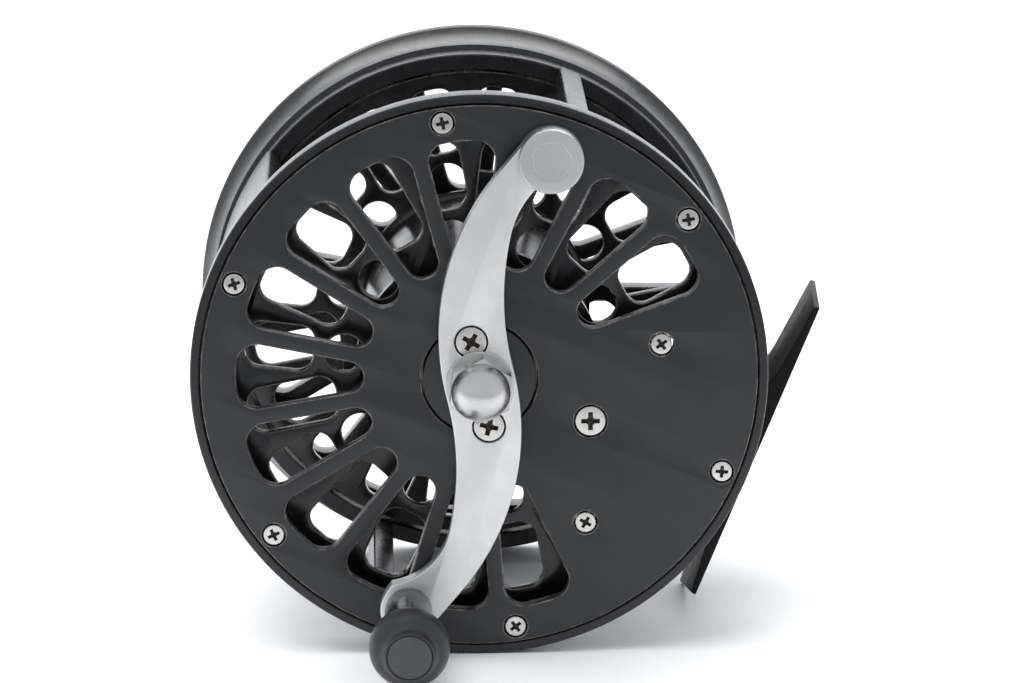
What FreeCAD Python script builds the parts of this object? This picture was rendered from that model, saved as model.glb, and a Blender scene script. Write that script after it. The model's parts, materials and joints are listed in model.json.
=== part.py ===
import FreeCAD
import Part
import math
import os
import re

import Sketcher
from FreeCAD import Placement, Rotation, Vector

# A 102 mm fly reel with a full frame, a perforated face plate and an S-shaped crank.
# Every piece is drawn in the reel's own frame: the spool's axis is Z, +Z points out of the
# face plate towards the crank, z = 0 is the front of the face plate, and +X points at the
# foot. Each piece's Placement then lays that frame down as the reel stands on a table.

DIMENSIONS = (
    # alias, value in millimetres or degrees, meaning
    ("rim_radius", 51.0, "radius of the front ring and of the rear rim"),
    ("ring_depth", 4.3, "depth of the front ring"),
    ("bore_radius", 45.1, "bore of the frame, which the spool passes through"),
    ("pillar_radius", 48.3, "outer radius of the pillars"),
    ("pillar_half_angle", 16.5, "half of the angle that the two wide pillars span"),
    ("slim_pillar_half_angle", 2.5, "half of the angle that the two slim pillars span"),
    ("cup_front", 52.4, "depth of the rear cup's front edge"),
    ("cup_step", 57.5, "depth of the step round the rear cup"),
    ("cup_front_radius", 47.9, "radius of the cup's front edge"),
    ("cup_step_radius", 48.7, "radius of the cup at its step"),
    ("reel_depth", 66.3, "depth of the frame's rear face"),
    ("rear_inner", 62.2, "depth of the rear plate's inner face"),
    ("plate_radius", 49.15, "radius of the face plate"),
    ("plate_seam", 0.2, "gap round the face plate"),
    ("plate_thickness", 2.15, "thickness of the face plate"),
    ("slot_count", 17, "slots that fit round a full circle"),
    ("slot_outer", 42.8, "outer radius of the face plate's slots"),
    ("slot_corner", 2.84, "corner radius of the slots"),
    ("spoke_width", 2.86, "width of the spokes between the slots"),
    ("plate_screw_circle", 46.37, "radius of the circle of face plate screws"),
    ("small_head_radius", 1.84, "head radius of the small screws"),
    ("small_recess_radius", 2.12, "radius of the recess round a small screw's head"),
    ("small_shank_radius", 0.95, "shank radius of the small screws"),
    ("post_circle", 32.6, "distance of the spring posts from the axis"),
    ("post_angle", 32.7, "angle of the spring posts either side of the foot"),
    ("pawl_circle", 21.15, "distance of the pawl's pivot from the axis"),
    ("large_head_radius", 2.7, "head radius of the large screws"),
    ("large_recess_radius", 2.95, "radius of the recess round a large screw's head"),
    ("large_shank_radius", 1.5, "shank radius of the large screws"),
    ("head_depth", 1.6, "depth of the recess that a flush head sits in"),
    ("flange_radius", 44.5, "radius of the spool's flanges"),
    ("front_flange", 7.1, "depth of the front flange's front face"),
    ("flange_thickness", 2.0, "thickness of the flanges"),
    ("rear_flange", 53.5, "depth of the rear flange's front face"),
    ("arbor_radius", 20.4, "radius of the drum that the line winds on"),
    ("arbor_wall", 2.0, "wall of the drum"),
    ("window_count", 20, "windows round each flange"),
    ("window_width", 8.3, "width of a flange window"),
    ("window_outer", 41.7, "outer end of the windows"),
    ("window_short", 29.4, "inner end of the short windows"),
    ("window_long", 25.7, "inner end of the long windows"),
    ("window_corner", 2.9, "corner radius of the windows"),
    ("window_phase", 28.15, "angle from the counterweight to a short window"),
    ("hole_circle", 24.0, "distance of the round holes from the axis"),
    ("hole_radius", 3.45, "radius of the round holes"),
    ("hub_radius", 10.6, "outer radius of the spool's hub"),
    ("hub_front", 13.0, "depth of the blind end of the hub's bore"),
    ("hub_rear", 54.6, "depth of the hub's rear end"),
    ("disc_radius", 9.95, "radius of the drive disc"),
    ("disc_seam", 0.35, "gap between the drive disc and the face plate"),
    ("disc_depth", 4.6, "depth of the drive disc's rear face"),
    ("gear_depth", 6.4, "depth of the click gear's rear face"),
    ("gear_teeth", 36, "teeth of the click gear"),
    ("gear_tip_radius", 14.2, "tip radius of the click gear"),
    ("gear_tooth_depth", 1.3, "depth of the click gear's teeth"),
    ("spigot_radius", 5.4, "radius of the spool's centring spigot"),
    ("seat_radius", 12.0, "radius of the raised seat for the click gear"),
    ("crank_back", 1.02, "height of the crank's rear face"),
    ("crank_front", 4.08, "height of the crank's front face"),
    ("weight_reach", 42.0, "distance of the counterweight from the axis"),
    ("handle_reach", 43.4, "distance of the handle from the axis"),
    ("weight_end_radius", 5.55, "radius of the crank's end under the counterweight"),
    ("handle_end_radius", 5.0, "radius of the crank's end at the handle"),
    ("crank_screw_x", 6.87, "crank screw along the crank"),
    ("crank_screw_y", 3.75, "crank screw across the crank"),
    ("weight_radius", 5.7, "radius of the counterweight"),
    ("weight_front", 5.8, "height of the counterweight's front face"),
    ("weight_lap", 2.5, "height of the lap under the counterweight"),
    ("stud_radius", 2.5, "radius of the stud that carries the cap nut"),
    ("nut_flange_radius", 6.1, "radius of the cap nut's flange"),
    ("nut_hex_flats", 10.5, "width of the cap nut across its flats"),
    ("nut_dome_radius", 5.15, "radius of the cap nut's dome"),
    ("nut_dome_base", 9.2, "height of the base of the cap nut's dome"),
    ("knob_start", 4.4, "height of the handle's rear end"),
    ("knob_front", 30.4, "height of the handle's front face"),
    ("neck_radius", 4.23, "radius of the handle's neck"),
    ("knob_radius", 7.04, "largest radius of the handle"),
    ("cap_radius", 3.95, "radius of the cap in the handle's front"),
    ("pin_radius", 1.6, "radius of the handle's spindle"),
    ("foot_seat", 55.6, "distance of the foot's seat from the axis"),
    ("foot_lower_end", 32.46, "length of the foot below its middle, at its rear edge"),
    ("foot_upper_end", 30.4, "length of the foot above its middle, at its rear edge"),
    ("foot_lower_cant", 2.86, "how much shorter the lower end is at its front edge"),
    ("foot_upper_cant", 1.5, "how much shorter the upper end is at its front edge"),
    ("foot_width", 15.4, "width of the foot"),
    ("foot_middle", 32.9, "depth of the foot's centreline"),
    ("foot_thickness", 4.1, "thickness of the foot at its middle"),
    ("foot_shoulder", 15.0, "distance from the middle to the foot's tapered ends"),
    ("foot_shoulder_thickness", 2.4, "thickness of the foot at its shoulders"),
    ("foot_tip_thickness", 1.0, "thickness of the foot at its tips"),
    ("pedestal_half_length", 9.0, "half of the length of the foot's pedestal"),
    ("bearing_inner", 3.5, "bore radius of the bearings"),
    ("bearing_outer", 6.5, "outer radius of the bearings"),
    ("bearing_width", 4.0, "width of the bearings"),
    ("bearing_front", 14.2, "depth of the front bearing's front face"),
    ("ball_circle", 5.0, "distance of the balls from the axis"),
    ("ball_radius", 1.1, "radius of the balls"),
    ("ball_count", 9, "balls in a bearing"),
    ("shoulder_radius", 5.0, "radius of the spindle behind its bearings"),
    ("tail_radius", 3.0, "radius of the spindle's rear end"),
    ("rotor_radius", 16.5, "radius of the drag rotor"),
    ("drag_gap", 0.15, "gap between the drag's faces when it is slack"),
    ("drag_knob_radius", 13.5, "radius of the drag knob"),
    ("drag_knob_front", 66.6, "depth of the drag knob's inner face"),
    ("drag_knob_rear", 73.6, "depth of the drag knob's outer face"),
    ("crank_angle", 72.85, "angle of the counterweight above the horizontal"),
)

doc = FreeCAD.newDocument("fly_reel")
sheet = doc.addObject("Spreadsheet::Sheet", "Dims")
for row, (alias, number, meaning) in enumerate(DIMENSIONS, start=1):
    sheet.set(f"A{row}", meaning)
    sheet.set(f"B{row}", str(number))
    sheet.setAlias(f"B{row}", alias)
doc.recompute()


def dim(alias):
    """A driving dimension, as the sheet holds it."""
    return float(getattr(sheet, alias))


def bound(text):
    """An expression with the sheet's name before each alias."""
    return re.sub(r"[a-z]+_[a-z_]+", lambda word: f"Dims.{word.group(0)}", text)


def value(text):
    """The number that an expression stands for."""
    return float(sheet.evalExpression(bound(text)))


# ---------------------------------------------------------------- where the reel stands

tip_distance = math.hypot(dim("foot_seat"), dim("foot_lower_end"))
tip_angle = math.degrees(math.atan2(dim("foot_lower_end"), dim("foot_seat")))
lean = math.degrees(math.asin(dim("rim_radius") / tip_distance)) - tip_angle
upper_tip_x = (dim("foot_seat") * math.cos(math.radians(lean))
               + dim("foot_upper_end") * math.sin(math.radians(lean)))
knob_rear = dim("drag_knob_rear") + 0.4
centre_x = -(upper_tip_x - dim("rim_radius")) / 2
centre_y = -(knob_rear - dim("knob_front")) / 2
standing = Placement(Vector(centre_x, centre_y, dim("rim_radius")), Rotation(Vector(1, 0, 0), 90))


def turned_by(angle):
    return standing * Placement(Vector(0, 0, 0), Rotation(Vector(0, 0, 1), angle))


frame_place = turned_by(-lean)
crank_place = turned_by(dim("crank_angle"))
handle_place = crank_place * Placement(Vector(-dim("handle_reach"), 0, 0), Rotation())
weight_place = crank_place * Placement(Vector(dim("weight_reach"), 0, 0), Rotation())

# ---------------------------------------------------------------- drawing helpers

parts = []


def keep(item, label, place):
    """Take an object as a sub-part, with its name and its place."""
    item.Label = label
    item.Placement = place
    parts.append(item)
    return item


def origin_feature(body, role):
    return next(item for item in body.Origin.OriginFeatures if item.Role == role)


def pin_coordinate(sketch, kind, edge, end, text):
    """Hold one coordinate of a sketch point at an expression."""
    if text == "0":
        axis = -2 if kind == "DistanceX" else -1
        sketch.addConstraint(Sketcher.Constraint("PointOnObject", edge, end, axis))
        return
    index = sketch.addConstraint(Sketcher.Constraint(kind, -1, 1, edge, end, value(text)))
    sketch.setExpression(f"Constraints[{index}]", bound(text))


def arc_between(start, end, radius, side):
    """The short arc from start to end; side is 1 if its centre lies to the left."""
    chord = end - start
    left = Vector(-chord.y, chord.x, 0).normalize()
    height = math.sqrt(max(radius ** 2 - (chord.Length / 2) ** 2, 0))
    centre = (start + end) / 2 + left * (side * height)
    first, last = (start, end) if side > 0 else (end, start)
    angles = [math.atan2(p.y - centre.y, p.x - centre.x) for p in (first, last)]
    return Part.ArcOfCircle(Part.Circle(centre, Vector(0, 0, 1), radius), *angles)


def outline(body, plane, name, points):
    """A closed sketch through points whose coordinates are expressions.

    A point with two more items starts an arc: its radius, and the side its centre is on.
    """
    sketch = body.newObject("Sketcher::SketchObject", name)
    sketch.AttachmentSupport = [(origin_feature(body, plane), "")]
    sketch.MapMode = "FlatFace"
    places = [Vector(value(point[0]), value(point[1]), 0) for point in points]
    edges = []
    for index, point in enumerate(points):
        start, end = places[index], places[(index + 1) % len(points)]
        if len(point) == 2:
            edges.append((sketch.addGeometry(Part.LineSegment(start, end), False), 1, 2))
            continue
        arc = sketch.addGeometry(arc_between(start, end, value(point[2]), point[3]), False)
        edges.append((arc, 1, 2) if point[3] > 0 else (arc, 2, 1))
    for index, (edge, first, last) in enumerate(edges):
        before = edges[index - 1]
        sketch.addConstraint(Sketcher.Constraint("Coincident", before[0], before[2], edge, first))
    for (edge, first, last), point in zip(edges, points):
        pin_coordinate(sketch, "DistanceX", edge, first, point[0])
        pin_coordinate(sketch, "DistanceY", edge, first, point[1])
        if len(point) > 2:
            radius = sketch.addConstraint(Sketcher.Constraint("Radius", edge, value(point[2])))
            sketch.setExpression(f"Constraints[{radius}]", bound(point[2]))
    return sketch


def circle_sketch(body, name, x, y, radius):
    sketch = body.newObject("Sketcher::SketchObject", name)
    sketch.AttachmentSupport = [(origin_feature(body, "XY_Plane"), "")]
    sketch.MapMode = "FlatFace"
    centre = Vector(value(x), value(y), 0)
    circle = sketch.addGeometry(Part.Circle(centre, Vector(0, 0, 1), value(radius)), False)
    pin_coordinate(sketch, "DistanceX", circle, 3, x)
    pin_coordinate(sketch, "DistanceY", circle, 3, y)
    index = sketch.addConstraint(Sketcher.Constraint("Radius", circle, value(radius)))
    sketch.setExpression(f"Constraints[{index}]", bound(radius))
    return sketch


def lathe(name, points):
    """A turned piece: a profile of (radius, height) revolved about Z."""
    body = doc.addObject("PartDesign::Body", name)
    sketch = outline(body, "XZ_Plane", f"{name}_profile", points)
    turn = body.newObject("PartDesign::Revolution", f"{name}_turn")
    turn.Profile = sketch
    turn.ReferenceAxis = (sketch, ["V_Axis"])
    turn.Angle = 360
    doc.recompute()
    return body


def plate_of(name, points, bottom, top):
    """A flat piece: an outline in XY padded from one height to another."""
    body = doc.addObject("PartDesign::Body", name)
    sketch = outline(body, "XY_Plane", f"{name}_outline", points)
    sketch.AttachmentOffset = Placement(Vector(0, 0, value(bottom)), Rotation())
    sketch.setExpression("AttachmentOffset.Base.z", bound(bottom))
    pad = body.newObject("PartDesign::Pad", f"{name}_pad")
    pad.Profile = sketch
    pad.Length = value(f"({top}) - ({bottom})")
    pad.setExpression("Length", bound(f"({top}) - ({bottom})"))
    doc.recompute()
    return body


def drill(body, name, x, y, radius, top, bottom, count="1"):
    """A round hole down from one height to another, repeated evenly about the axis."""
    before = body.Shape.Volume
    sketch = circle_sketch(body, f"{name}_circle", x, y, radius)
    sketch.AttachmentOffset = Placement(Vector(0, 0, value(top)), Rotation())
    sketch.setExpression("AttachmentOffset.Base.z", bound(top))
    pocket = body.newObject("PartDesign::Pocket", name)
    pocket.Profile = sketch
    pocket.Length = value(f"({top}) - ({bottom})")
    pocket.setExpression("Length", bound(f"({top}) - ({bottom})"))
    doc.recompute()
    if value(count) > 1:
        pattern = body.newObject("PartDesign::PolarPattern", f"{name}_pattern")
        pattern.Originals = [pocket]
        pattern.Axis = (origin_feature(body, "Z_Axis"), [""])
        pattern.Angle = 360
        pattern.Occurrences = int(value(count))
        body.Tip = pattern
        doc.recompute()
    if body.Shape.Volume > before - 0.01:
        raise ValueError(f"{name} removed nothing")
    return body


def shaped(name, shape):
    """An object whose shape is worked out with Part's own functions."""
    item = doc.addObject("Part::Feature", name)
    item.Shape = shape
    return item


def cut(name, base, tool):
    item = doc.addObject("Part::Cut", name)
    item.Base = base
    item.Tool = tool
    doc.recompute()
    return item


def fuse(name, base, tool):
    item = doc.addObject("Part::Fuse", name)
    item.Base = base
    item.Tool = tool
    doc.recompute()
    return item


def box(x, y, z):
    """A box between two corners, each given as (low, high) along its axis."""
    size = [high - low for low, high in (x, y, z)]
    return Part.makeBox(*size, Vector(x[0], y[0], z[0]))


def rod(radius, low, high, x=0.0, y=0.0):
    return Part.makeCylinder(radius, high - low, Vector(x, y, low))


def around(shape, angles, at=(0, 0, 0)):
    """Copies of a shape, each moved to a place and turned about Z, as one compound."""
    copies = []
    for angle in angles:
        turn = Placement(Vector(0, 0, 0), Rotation(Vector(0, 0, 1), angle))
        copy = shape.copy()
        copy.Placement = turn * Placement(Vector(*at), Rotation()) * shape.Placement
        copies.append(copy)
    return Part.makeCompound(copies)


def rounded_prism(edges, corner, low, high):
    """A prism on a closed outline whose corners are rounded."""
    face = Part.Face(Part.Wire(edges))
    face = face.makeOffset2D(-corner, join=2).makeOffset2D(corner, join=0)
    face.translate(Vector(0, 0, low))
    return face.extrude(Vector(0, 0, high - low))


def steps(count, start=0.0):
    return [start + index * 360 / count for index in range(int(count))]


# ---------------------------------------------------------------- frame


def wedge_slot(low, high):
    """One slot between two spokes, centred on +X."""
    half = math.radians(180 / dim("slot_count"))
    apex = dim("spoke_width") / 2 / math.sin(half)
    outer = dim("slot_outer")
    reach = outer * math.cos(half)
    rise = (reach - apex) * math.tan(half)
    ends = [Vector(apex, 0, 0), Vector(reach, -rise, 0), Vector(reach, rise, 0)]
    bow = Part.Arc(ends[1], Vector(outer, 0, 0), ends[2]).toShape()
    sides = [Part.makeLine(ends[0], ends[1]), bow, Part.makeLine(ends[2], ends[0])]
    return rounded_prism(sides, dim("slot_corner"), low, high)


def side_window(start, end):
    """The opening between two pillars, from one angle to another."""
    radius = dim("rim_radius") + 10
    low, high = -dim("cup_front"), -dim("ring_depth")
    sector = Part.makeCylinder(radius, high - low, Vector(0, 0, low), Vector(0, 0, 1), end - start)
    sector.rotate(Vector(0, 0, 0), Vector(0, 0, 1), start)
    return sector.cut(rod(dim("bore_radius") - 5, low, high))


frame_blank = lathe("frame_blank", (
    ("bore_radius", "-plate_thickness"),
    ("plate_radius + plate_seam", "-plate_thickness"),
    ("plate_radius + plate_seam", "-0.25"),
    ("plate_radius + plate_seam + 0.25", "0"),
    ("rim_radius - 0.4", "0"),
    ("rim_radius", "-0.4"),
    ("rim_radius", "0.4 - ring_depth"),
    ("rim_radius - 0.4", "-ring_depth"),
    ("pillar_radius", "-ring_depth"),
    ("pillar_radius", "-cup_front"),
    ("cup_front_radius", "-cup_front - 0.4"),
    ("cup_front_radius", "0.4 - cup_step"),
    ("cup_step_radius", "-cup_step", "14", 1),
    ("rim_radius", "2.2 - reel_depth"),
    ("rim_radius", "1.0 - reel_depth", "1.0", -1),
    ("rim_radius - 1.0", "-reel_depth"),
    ("shoulder_radius", "-reel_depth"),
    ("shoulder_radius", "1.3 - rear_inner"),
    ("9.0", "1.3 - rear_inner"),
    ("9.0", "-rear_inner"),
    ("bore_radius", "-rear_inner"),
))

wide, slim = dim("pillar_half_angle"), dim("slim_pillar_half_angle")
window_spans = [
    (wide, 90 - slim),
    (90 + slim, 180 - wide),
    (180 + wide, 270 - slim),
    (270 + slim, 360 - wide),
]
rear_slot = wedge_slot(-dim("reel_depth") - 1, -dim("rear_inner") + 1)
frame_openings = [side_window(start, end) for start, end in window_spans]
frame_openings.append(around(rear_slot, steps(dim("slot_count"), 180 / dim("slot_count"))))
thread = rod(dim("small_shank_radius"), -dim("ring_depth") - 0.1, -dim("plate_thickness") + 1)
frame_openings.append(around(thread, steps(6), at=(dim("plate_screw_circle"), 0, 0)))
frame_openings.append(around(rod(1.0, -dim("rear_inner") - 2.5, 0), steps(3, 30), at=(12.5, 0, 0)))
frame_openings.append(rod(1.05, -dim("reel_depth") - 1, -dim("rear_inner") - 0.6, 0, 9.5))
frame_cut = cut("frame_cut", frame_blank, shaped("frame_openings", Part.makeCompound(frame_openings)))

foot_bottom = dim("foot_seat") - dim("foot_thickness")
foot_z = (-dim("foot_middle") - dim("foot_width") / 2, -dim("foot_middle") + dim("foot_width") / 2)
pedestal_span = (-dim("pedestal_half_length"), dim("pedestal_half_length"))
pedestal = box((46.0, foot_bottom), pedestal_span, (foot_z[0] + 0.6, foot_z[1] - 0.6))
foot_screw_heights = [-dim("foot_middle") - 4.2, -dim("foot_middle") + 4.2]


def foot_screw_hole(radius, start, end, height):
    return Part.makeCylinder(radius, end - start, Vector(start, 0, height), Vector(1, 0, 0))


foot_threads = [foot_screw_hole(1.2, 46.5, foot_bottom + 1, height) for height in foot_screw_heights]
frame_fused = fuse("frame_fused", frame_cut, shaped("pedestal", pedestal))
frame = cut("frame_whole", frame_fused, shaped("foot_threads", Part.makeCompound(foot_threads)))
keep(frame, "frame", frame_place)

# ---------------------------------------------------------------- foot


def end_cant(end, amount):
    """What is cut off an end of the foot, so that it is shorter at its front edge."""
    side = 1 if end > 0 else -1
    corners = [Vector(0, end - side * amount, foot_z[1]), Vector(0, end, foot_z[0]),
               Vector(0, end + side, foot_z[0]), Vector(0, end + side, foot_z[1])]
    wedge = Part.Face(Part.makePolygon(corners + corners[:1])).extrude(Vector(20, 0, 0))
    wedge.translate(Vector(dim("foot_seat") - 10, 0, 0))
    return wedge


def foot_shape():
    """The foot: flat on its seat, thinner in two steps towards its tips, with canted ends."""
    seat, shoulder = dim("foot_seat"), dim("foot_shoulder")
    lower, upper = -dim("foot_lower_end"), dim("foot_upper_end")
    inner = seat - dim("foot_thickness")
    ledge = seat - dim("foot_shoulder_thickness")
    tip = seat - dim("foot_tip_thickness")
    flat = dim("pedestal_half_length") + 0.6
    corners = [(seat, lower), (tip, lower), (ledge, -shoulder), (inner, -flat),
               (inner, flat), (ledge, shoulder), (tip, upper), (seat, upper)]
    wire = Part.makePolygon([Vector(x, y, foot_z[0]) for x, y in corners + corners[:1]])
    foot = Part.Face(wire).extrude(Vector(0, 0, foot_z[1] - foot_z[0]))
    foot = foot.cut(end_cant(lower, dim("foot_lower_cant")))
    foot = foot.cut(end_cant(upper, dim("foot_upper_cant")))
    for height in foot_screw_heights:
        foot = foot.cut(foot_screw_hole(1.3, inner - 1, seat + 1, height))
        foot = foot.cut(foot_screw_hole(2.6, seat - 1.9, seat + 1, height))
    return foot


keep(shaped("reel_foot_shape", foot_shape()), "reel_foot", frame_place)

# ---------------------------------------------------------------- screws


def cross_recess(width, reach, depth):
    """A cross-shaped driver recess cut down from z = 0."""
    bars = [box((-reach, reach), (-width / 2, width / 2), (-depth, 1)),
            box((-width / 2, width / 2), (-reach, reach), (-depth, 1))]
    point = Part.makeCone(width * 0.2, width * 0.95, depth * 1.3, Vector(0, 0, -depth * 1.3))
    return bars[0].fuse([bars[1], point])


def screw(name, head, shank, length, recess):
    """A flush-headed screw standing under z = 0, its head as deep as its recess."""
    body = lathe(f"{name}_blank", (
        ("0", "0"),
        (f"{head} - 0.2", "0"),
        (head, "-0.2"),
        (head, "0.1 - head_depth"),
        (shank, "0.1 - head_depth"),
        (shank, f"0.3 - {length}"),
        (f"{shank} - 0.3", f"-{length}"),
        ("0", f"-{length}"),
    ))
    return cut(name, body, shaped(f"{name}_recess", cross_recess(*recess)))


def group(label, master, places, place):
    """Identical fasteners as one node: one solid at each place."""
    copies = []
    for spot in places:
        copy = master.Shape.copy()
        copy.Placement = spot * copy.Placement
        copies.append(copy)
    return keep(shaped(f"{label}_group", Part.makeCompound(copies)), label, place)


def at_polar(radius, angle, height, roll=0.0):
    spin = Placement(Vector(0, 0, 0), Rotation(Vector(0, 0, 1), angle))
    return spin * Placement(Vector(radius, 0, height), Rotation(Vector(0, 0, 1), roll))


HEAD_SINK = -0.1
small_screw = screw("small_screw", "small_head_radius", "small_shank_radius", "4.0", (0.62, 1.05, 0.75))
large_screw = screw("large_screw", "large_head_radius", "large_shank_radius", "4.1", (0.85, 1.5, 1.0))
crank_screw = screw("crank_screw", "large_head_radius", "large_shank_radius", "14.0", (0.85, 1.5, 1.0))
screw_rolls = (18, 62, 5, 40, 77, 30)
plate_spots = [at_polar(dim("plate_screw_circle"), 60 * k, HEAD_SINK, roll)
               for k, roll in enumerate(screw_rolls)]
group("face_plate_screws", small_screw, plate_spots, frame_place)
post_angles = (-dim("post_angle"), dim("post_angle"))
post_spots = [at_polar(dim("post_circle"), angle, HEAD_SINK, 25) for angle in post_angles]
group("spring_post_screws", small_screw, post_spots, frame_place)
group("pawl_pivot_screw", large_screw, [at_polar(dim("pawl_circle"), 0, HEAD_SINK, 22)], frame_place)

foot_screw = screw("foot_screw", "2.5", "1.2", "7.6", (0.85, 1.4, 0.9))
outward = Rotation(Vector(0, 1, 0), 90)
foot_spots = [Placement(Vector(dim("foot_seat") - 0.3, 0, height), outward)
              for height in foot_screw_heights]
group("foot_screws", foot_screw, foot_spots, frame_place)

# ---------------------------------------------------------------- face plate

plate_blank = lathe("plate_blank", (
    ("disc_radius + disc_seam", "-0.2"),
    ("disc_radius + disc_seam + 0.2", "0"),
    ("plate_radius - 0.3", "0"),
    ("plate_radius", "-0.3"),
    ("plate_radius", "-plate_thickness"),
    ("disc_radius + disc_seam", "-plate_thickness"),
))
drill(plate_blank, "rim_recess", "plate_screw_circle", "0", "small_recess_radius", "0", "-head_depth", "6")
drill(plate_blank, "rim_hole", "plate_screw_circle", "0", "small_shank_radius + 0.05", "0", "-3", "6")
for number, sign in enumerate(("-", "")):
    x_text, y_text = "post_circle * cos(post_angle)", f"{sign}post_circle * sin(post_angle)"
    drill(plate_blank, f"post_recess{number}", x_text, y_text, "small_recess_radius", "0", "-head_depth")
    drill(plate_blank, f"post_hole{number}", x_text, y_text, "small_shank_radius + 0.05", "0", "-3")
drill(plate_blank, "pivot_recess", "pawl_circle", "0", "large_recess_radius", "0", "-head_depth")
drill(plate_blank, "pivot_hole", "pawl_circle", "0", "large_shank_radius + 0.05", "0", "-3")
front_slot = wedge_slot(-dim("plate_thickness") - 1, 1)
pitch = 360 / dim("slot_count")
cut_slots = [pitch * (2.5 + k) for k in range(13)]
face_plate = cut("face_plate_cut", plate_blank, shaped("face_slots", around(front_slot, cut_slots)))
keep(face_plate, "face_plate", frame_place)

# ---------------------------------------------------------------- click

POST_END = "-6.5"
post = lathe("post_blank", (
    ("small_shank_radius", "-plate_thickness"),
    ("1.6", "-plate_thickness"),
    ("1.6", POST_END),
    ("0", POST_END),
    ("0", "-4.2"),
    ("small_shank_radius", "-4.2"),
))
group("spring_posts", post, [at_polar(dim("post_circle"), angle, 0) for angle in post_angles], frame_place)

pawl_place = frame_place * Placement(Vector(dim("pawl_circle"), 0, 0), Rotation())
pawl_post = lathe("pawl_post_blank", (
    ("large_shank_radius", "-plate_thickness"),
    ("2.6", "-plate_thickness"),
    ("2.6", "-4.6"),
    ("2.0", "-4.6"),
    ("2.0", "-6.4"),
    ("2.6", "-6.4"),
    ("2.6", "-6.8"),
    ("0", "-6.8"),
    ("0", "-4.3"),
    ("large_shank_radius", "-4.3"),
))
keep(pawl_post, "pawl_post", pawl_place)

pawl = plate_of("pawl_blank", (
    ("gear_tip_radius + 0.35 - pawl_circle", "0"),
    ("-2.6", "-2.4"),
    ("0", "-3.85", "3.85", 1),
    ("3.85", "0", "3.85", 1),
    ("0", "3.85"),
    ("-2.6", "2.4"),
), "-6.2", "-4.8")
drill(pawl, "pawl_bore", "0", "0", "2.08", "-4.8", "-6.2")
keep(pawl, "click_pawl", pawl_place)


def click_spring():
    """A leaf that runs from post to post past the pawl's back, with an eye round each post."""
    x = dim("post_circle") * math.cos(math.radians(dim("post_angle")))
    y = dim("post_circle") * math.sin(math.radians(dim("post_angle")))
    low, high, eye, leaf = -6.1, -4.5, 2.05, 0.4
    strip = box((x - eye, x - eye + leaf), (-y, y), (low, high))
    eyes = [rod(eye, low, high, x, side * y) for side in (-1, 1)]
    bores = [rod(eye - leaf, low, high, x, side * y) for side in (-1, 1)]
    return strip.fuse(eyes).cut(bores).removeSplitter()


keep(shaped("click_spring_shape", click_spring()), "click_spring", frame_place)

# ---------------------------------------------------------------- spool

spool_blank = lathe("spool_blank", (
    ("stud_radius", "-disc_depth - 0.2"),
    ("spigot_radius", "-disc_depth - 0.2"),
    ("spigot_radius", "-gear_depth"),
    ("seat_radius", "-gear_depth"),
    ("seat_radius", "-front_flange"),
    ("flange_radius - 0.4", "-front_flange"),
    ("flange_radius", "-front_flange - 0.4"),
    ("flange_radius", "0.4 - front_flange - flange_thickness"),
    ("flange_radius - 0.4", "-front_flange - flange_thickness"),
    ("arbor_radius + 1.5", "-front_flange - flange_thickness", "1.5", 1),
    ("arbor_radius", "-front_flange - flange_thickness - 1.5"),
    ("arbor_radius", "1.5 - rear_flange", "1.5", 1),
    ("arbor_radius + 1.5", "-rear_flange"),
    ("flange_radius - 0.4", "-rear_flange"),
    ("flange_radius", "-rear_flange - 0.4"),
    ("flange_radius", "0.4 - rear_flange - flange_thickness"),
    ("flange_radius - 0.4", "-rear_flange - flange_thickness"),
    ("arbor_radius - arbor_wall", "-rear_flange - flange_thickness"),
    ("arbor_radius - arbor_wall", "-hub_front"),
    ("hub_radius", "-hub_front"),
    ("hub_radius", "-hub_rear"),
    ("bearing_outer", "-hub_rear"),
    ("bearing_outer", "-hub_front"),
    ("stud_radius", "-hub_front"),
))


def flange_window(inner, low, high):
    half = dim("window_width") / 2
    outer = dim("window_outer")
    reach = math.sqrt(outer ** 2 - half ** 2)
    corners = ((inner, -half), (reach, -half), (reach, half), (inner, half))
    ends = [Vector(x, y, 0) for x, y in corners]
    bow = Part.Arc(ends[1], Vector(outer, 0, 0), ends[2]).toShape()
    sides = [Part.makeLine(ends[0], ends[1]), bow, Part.makeLine(ends[2], ends[3])]
    return rounded_prism(sides + [Part.makeLine(ends[3], ends[0])], dim("window_corner"), low, high)


spool_openings = []
half_count = dim("window_count") / 2
flange_spans = ((-dim("front_flange") - dim("flange_thickness") - 1, -dim("front_flange") + 1),
                (-dim("rear_flange") - dim("flange_thickness") - 1, -dim("rear_flange") + 1))
for low, high in flange_spans:
    short = flange_window(dim("window_short"), low, high)
    long = flange_window(dim("window_long"), low, high)
    spool_openings.append(around(short, steps(half_count, dim("window_phase"))))
    spool_openings.append(around(long, steps(half_count, dim("window_phase") + 180 / half_count)))
    hole = rod(dim("hole_radius"), low, high)
    hole_angles = steps(half_count, dim("window_phase"))
    spool_openings.append(around(hole, hole_angles, at=(dim("hole_circle"), 0, 0)))
screw_radius = math.hypot(dim("crank_screw_x"), dim("crank_screw_y"))
screw_angle = math.degrees(math.atan2(dim("crank_screw_y"), dim("crank_screw_x")))
screw_angles = (screw_angle, screw_angle + 180)
crank_thread = rod(dim("large_shank_radius"), -10.2, 0)
spool_openings.append(around(crank_thread, screw_angles, at=(screw_radius, 0, 0)))
rotor_thread = rod(0.95, -dim("hub_rear") - 1, -dim("hub_rear") + 4)
spool_openings.append(around(rotor_thread, steps(3), at=(8.55, 0, 0)))
spool = cut("spool_cut", spool_blank, shaped("spool_openings", Part.makeCompound(spool_openings)))
keep(spool, "spool", crank_place)

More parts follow.
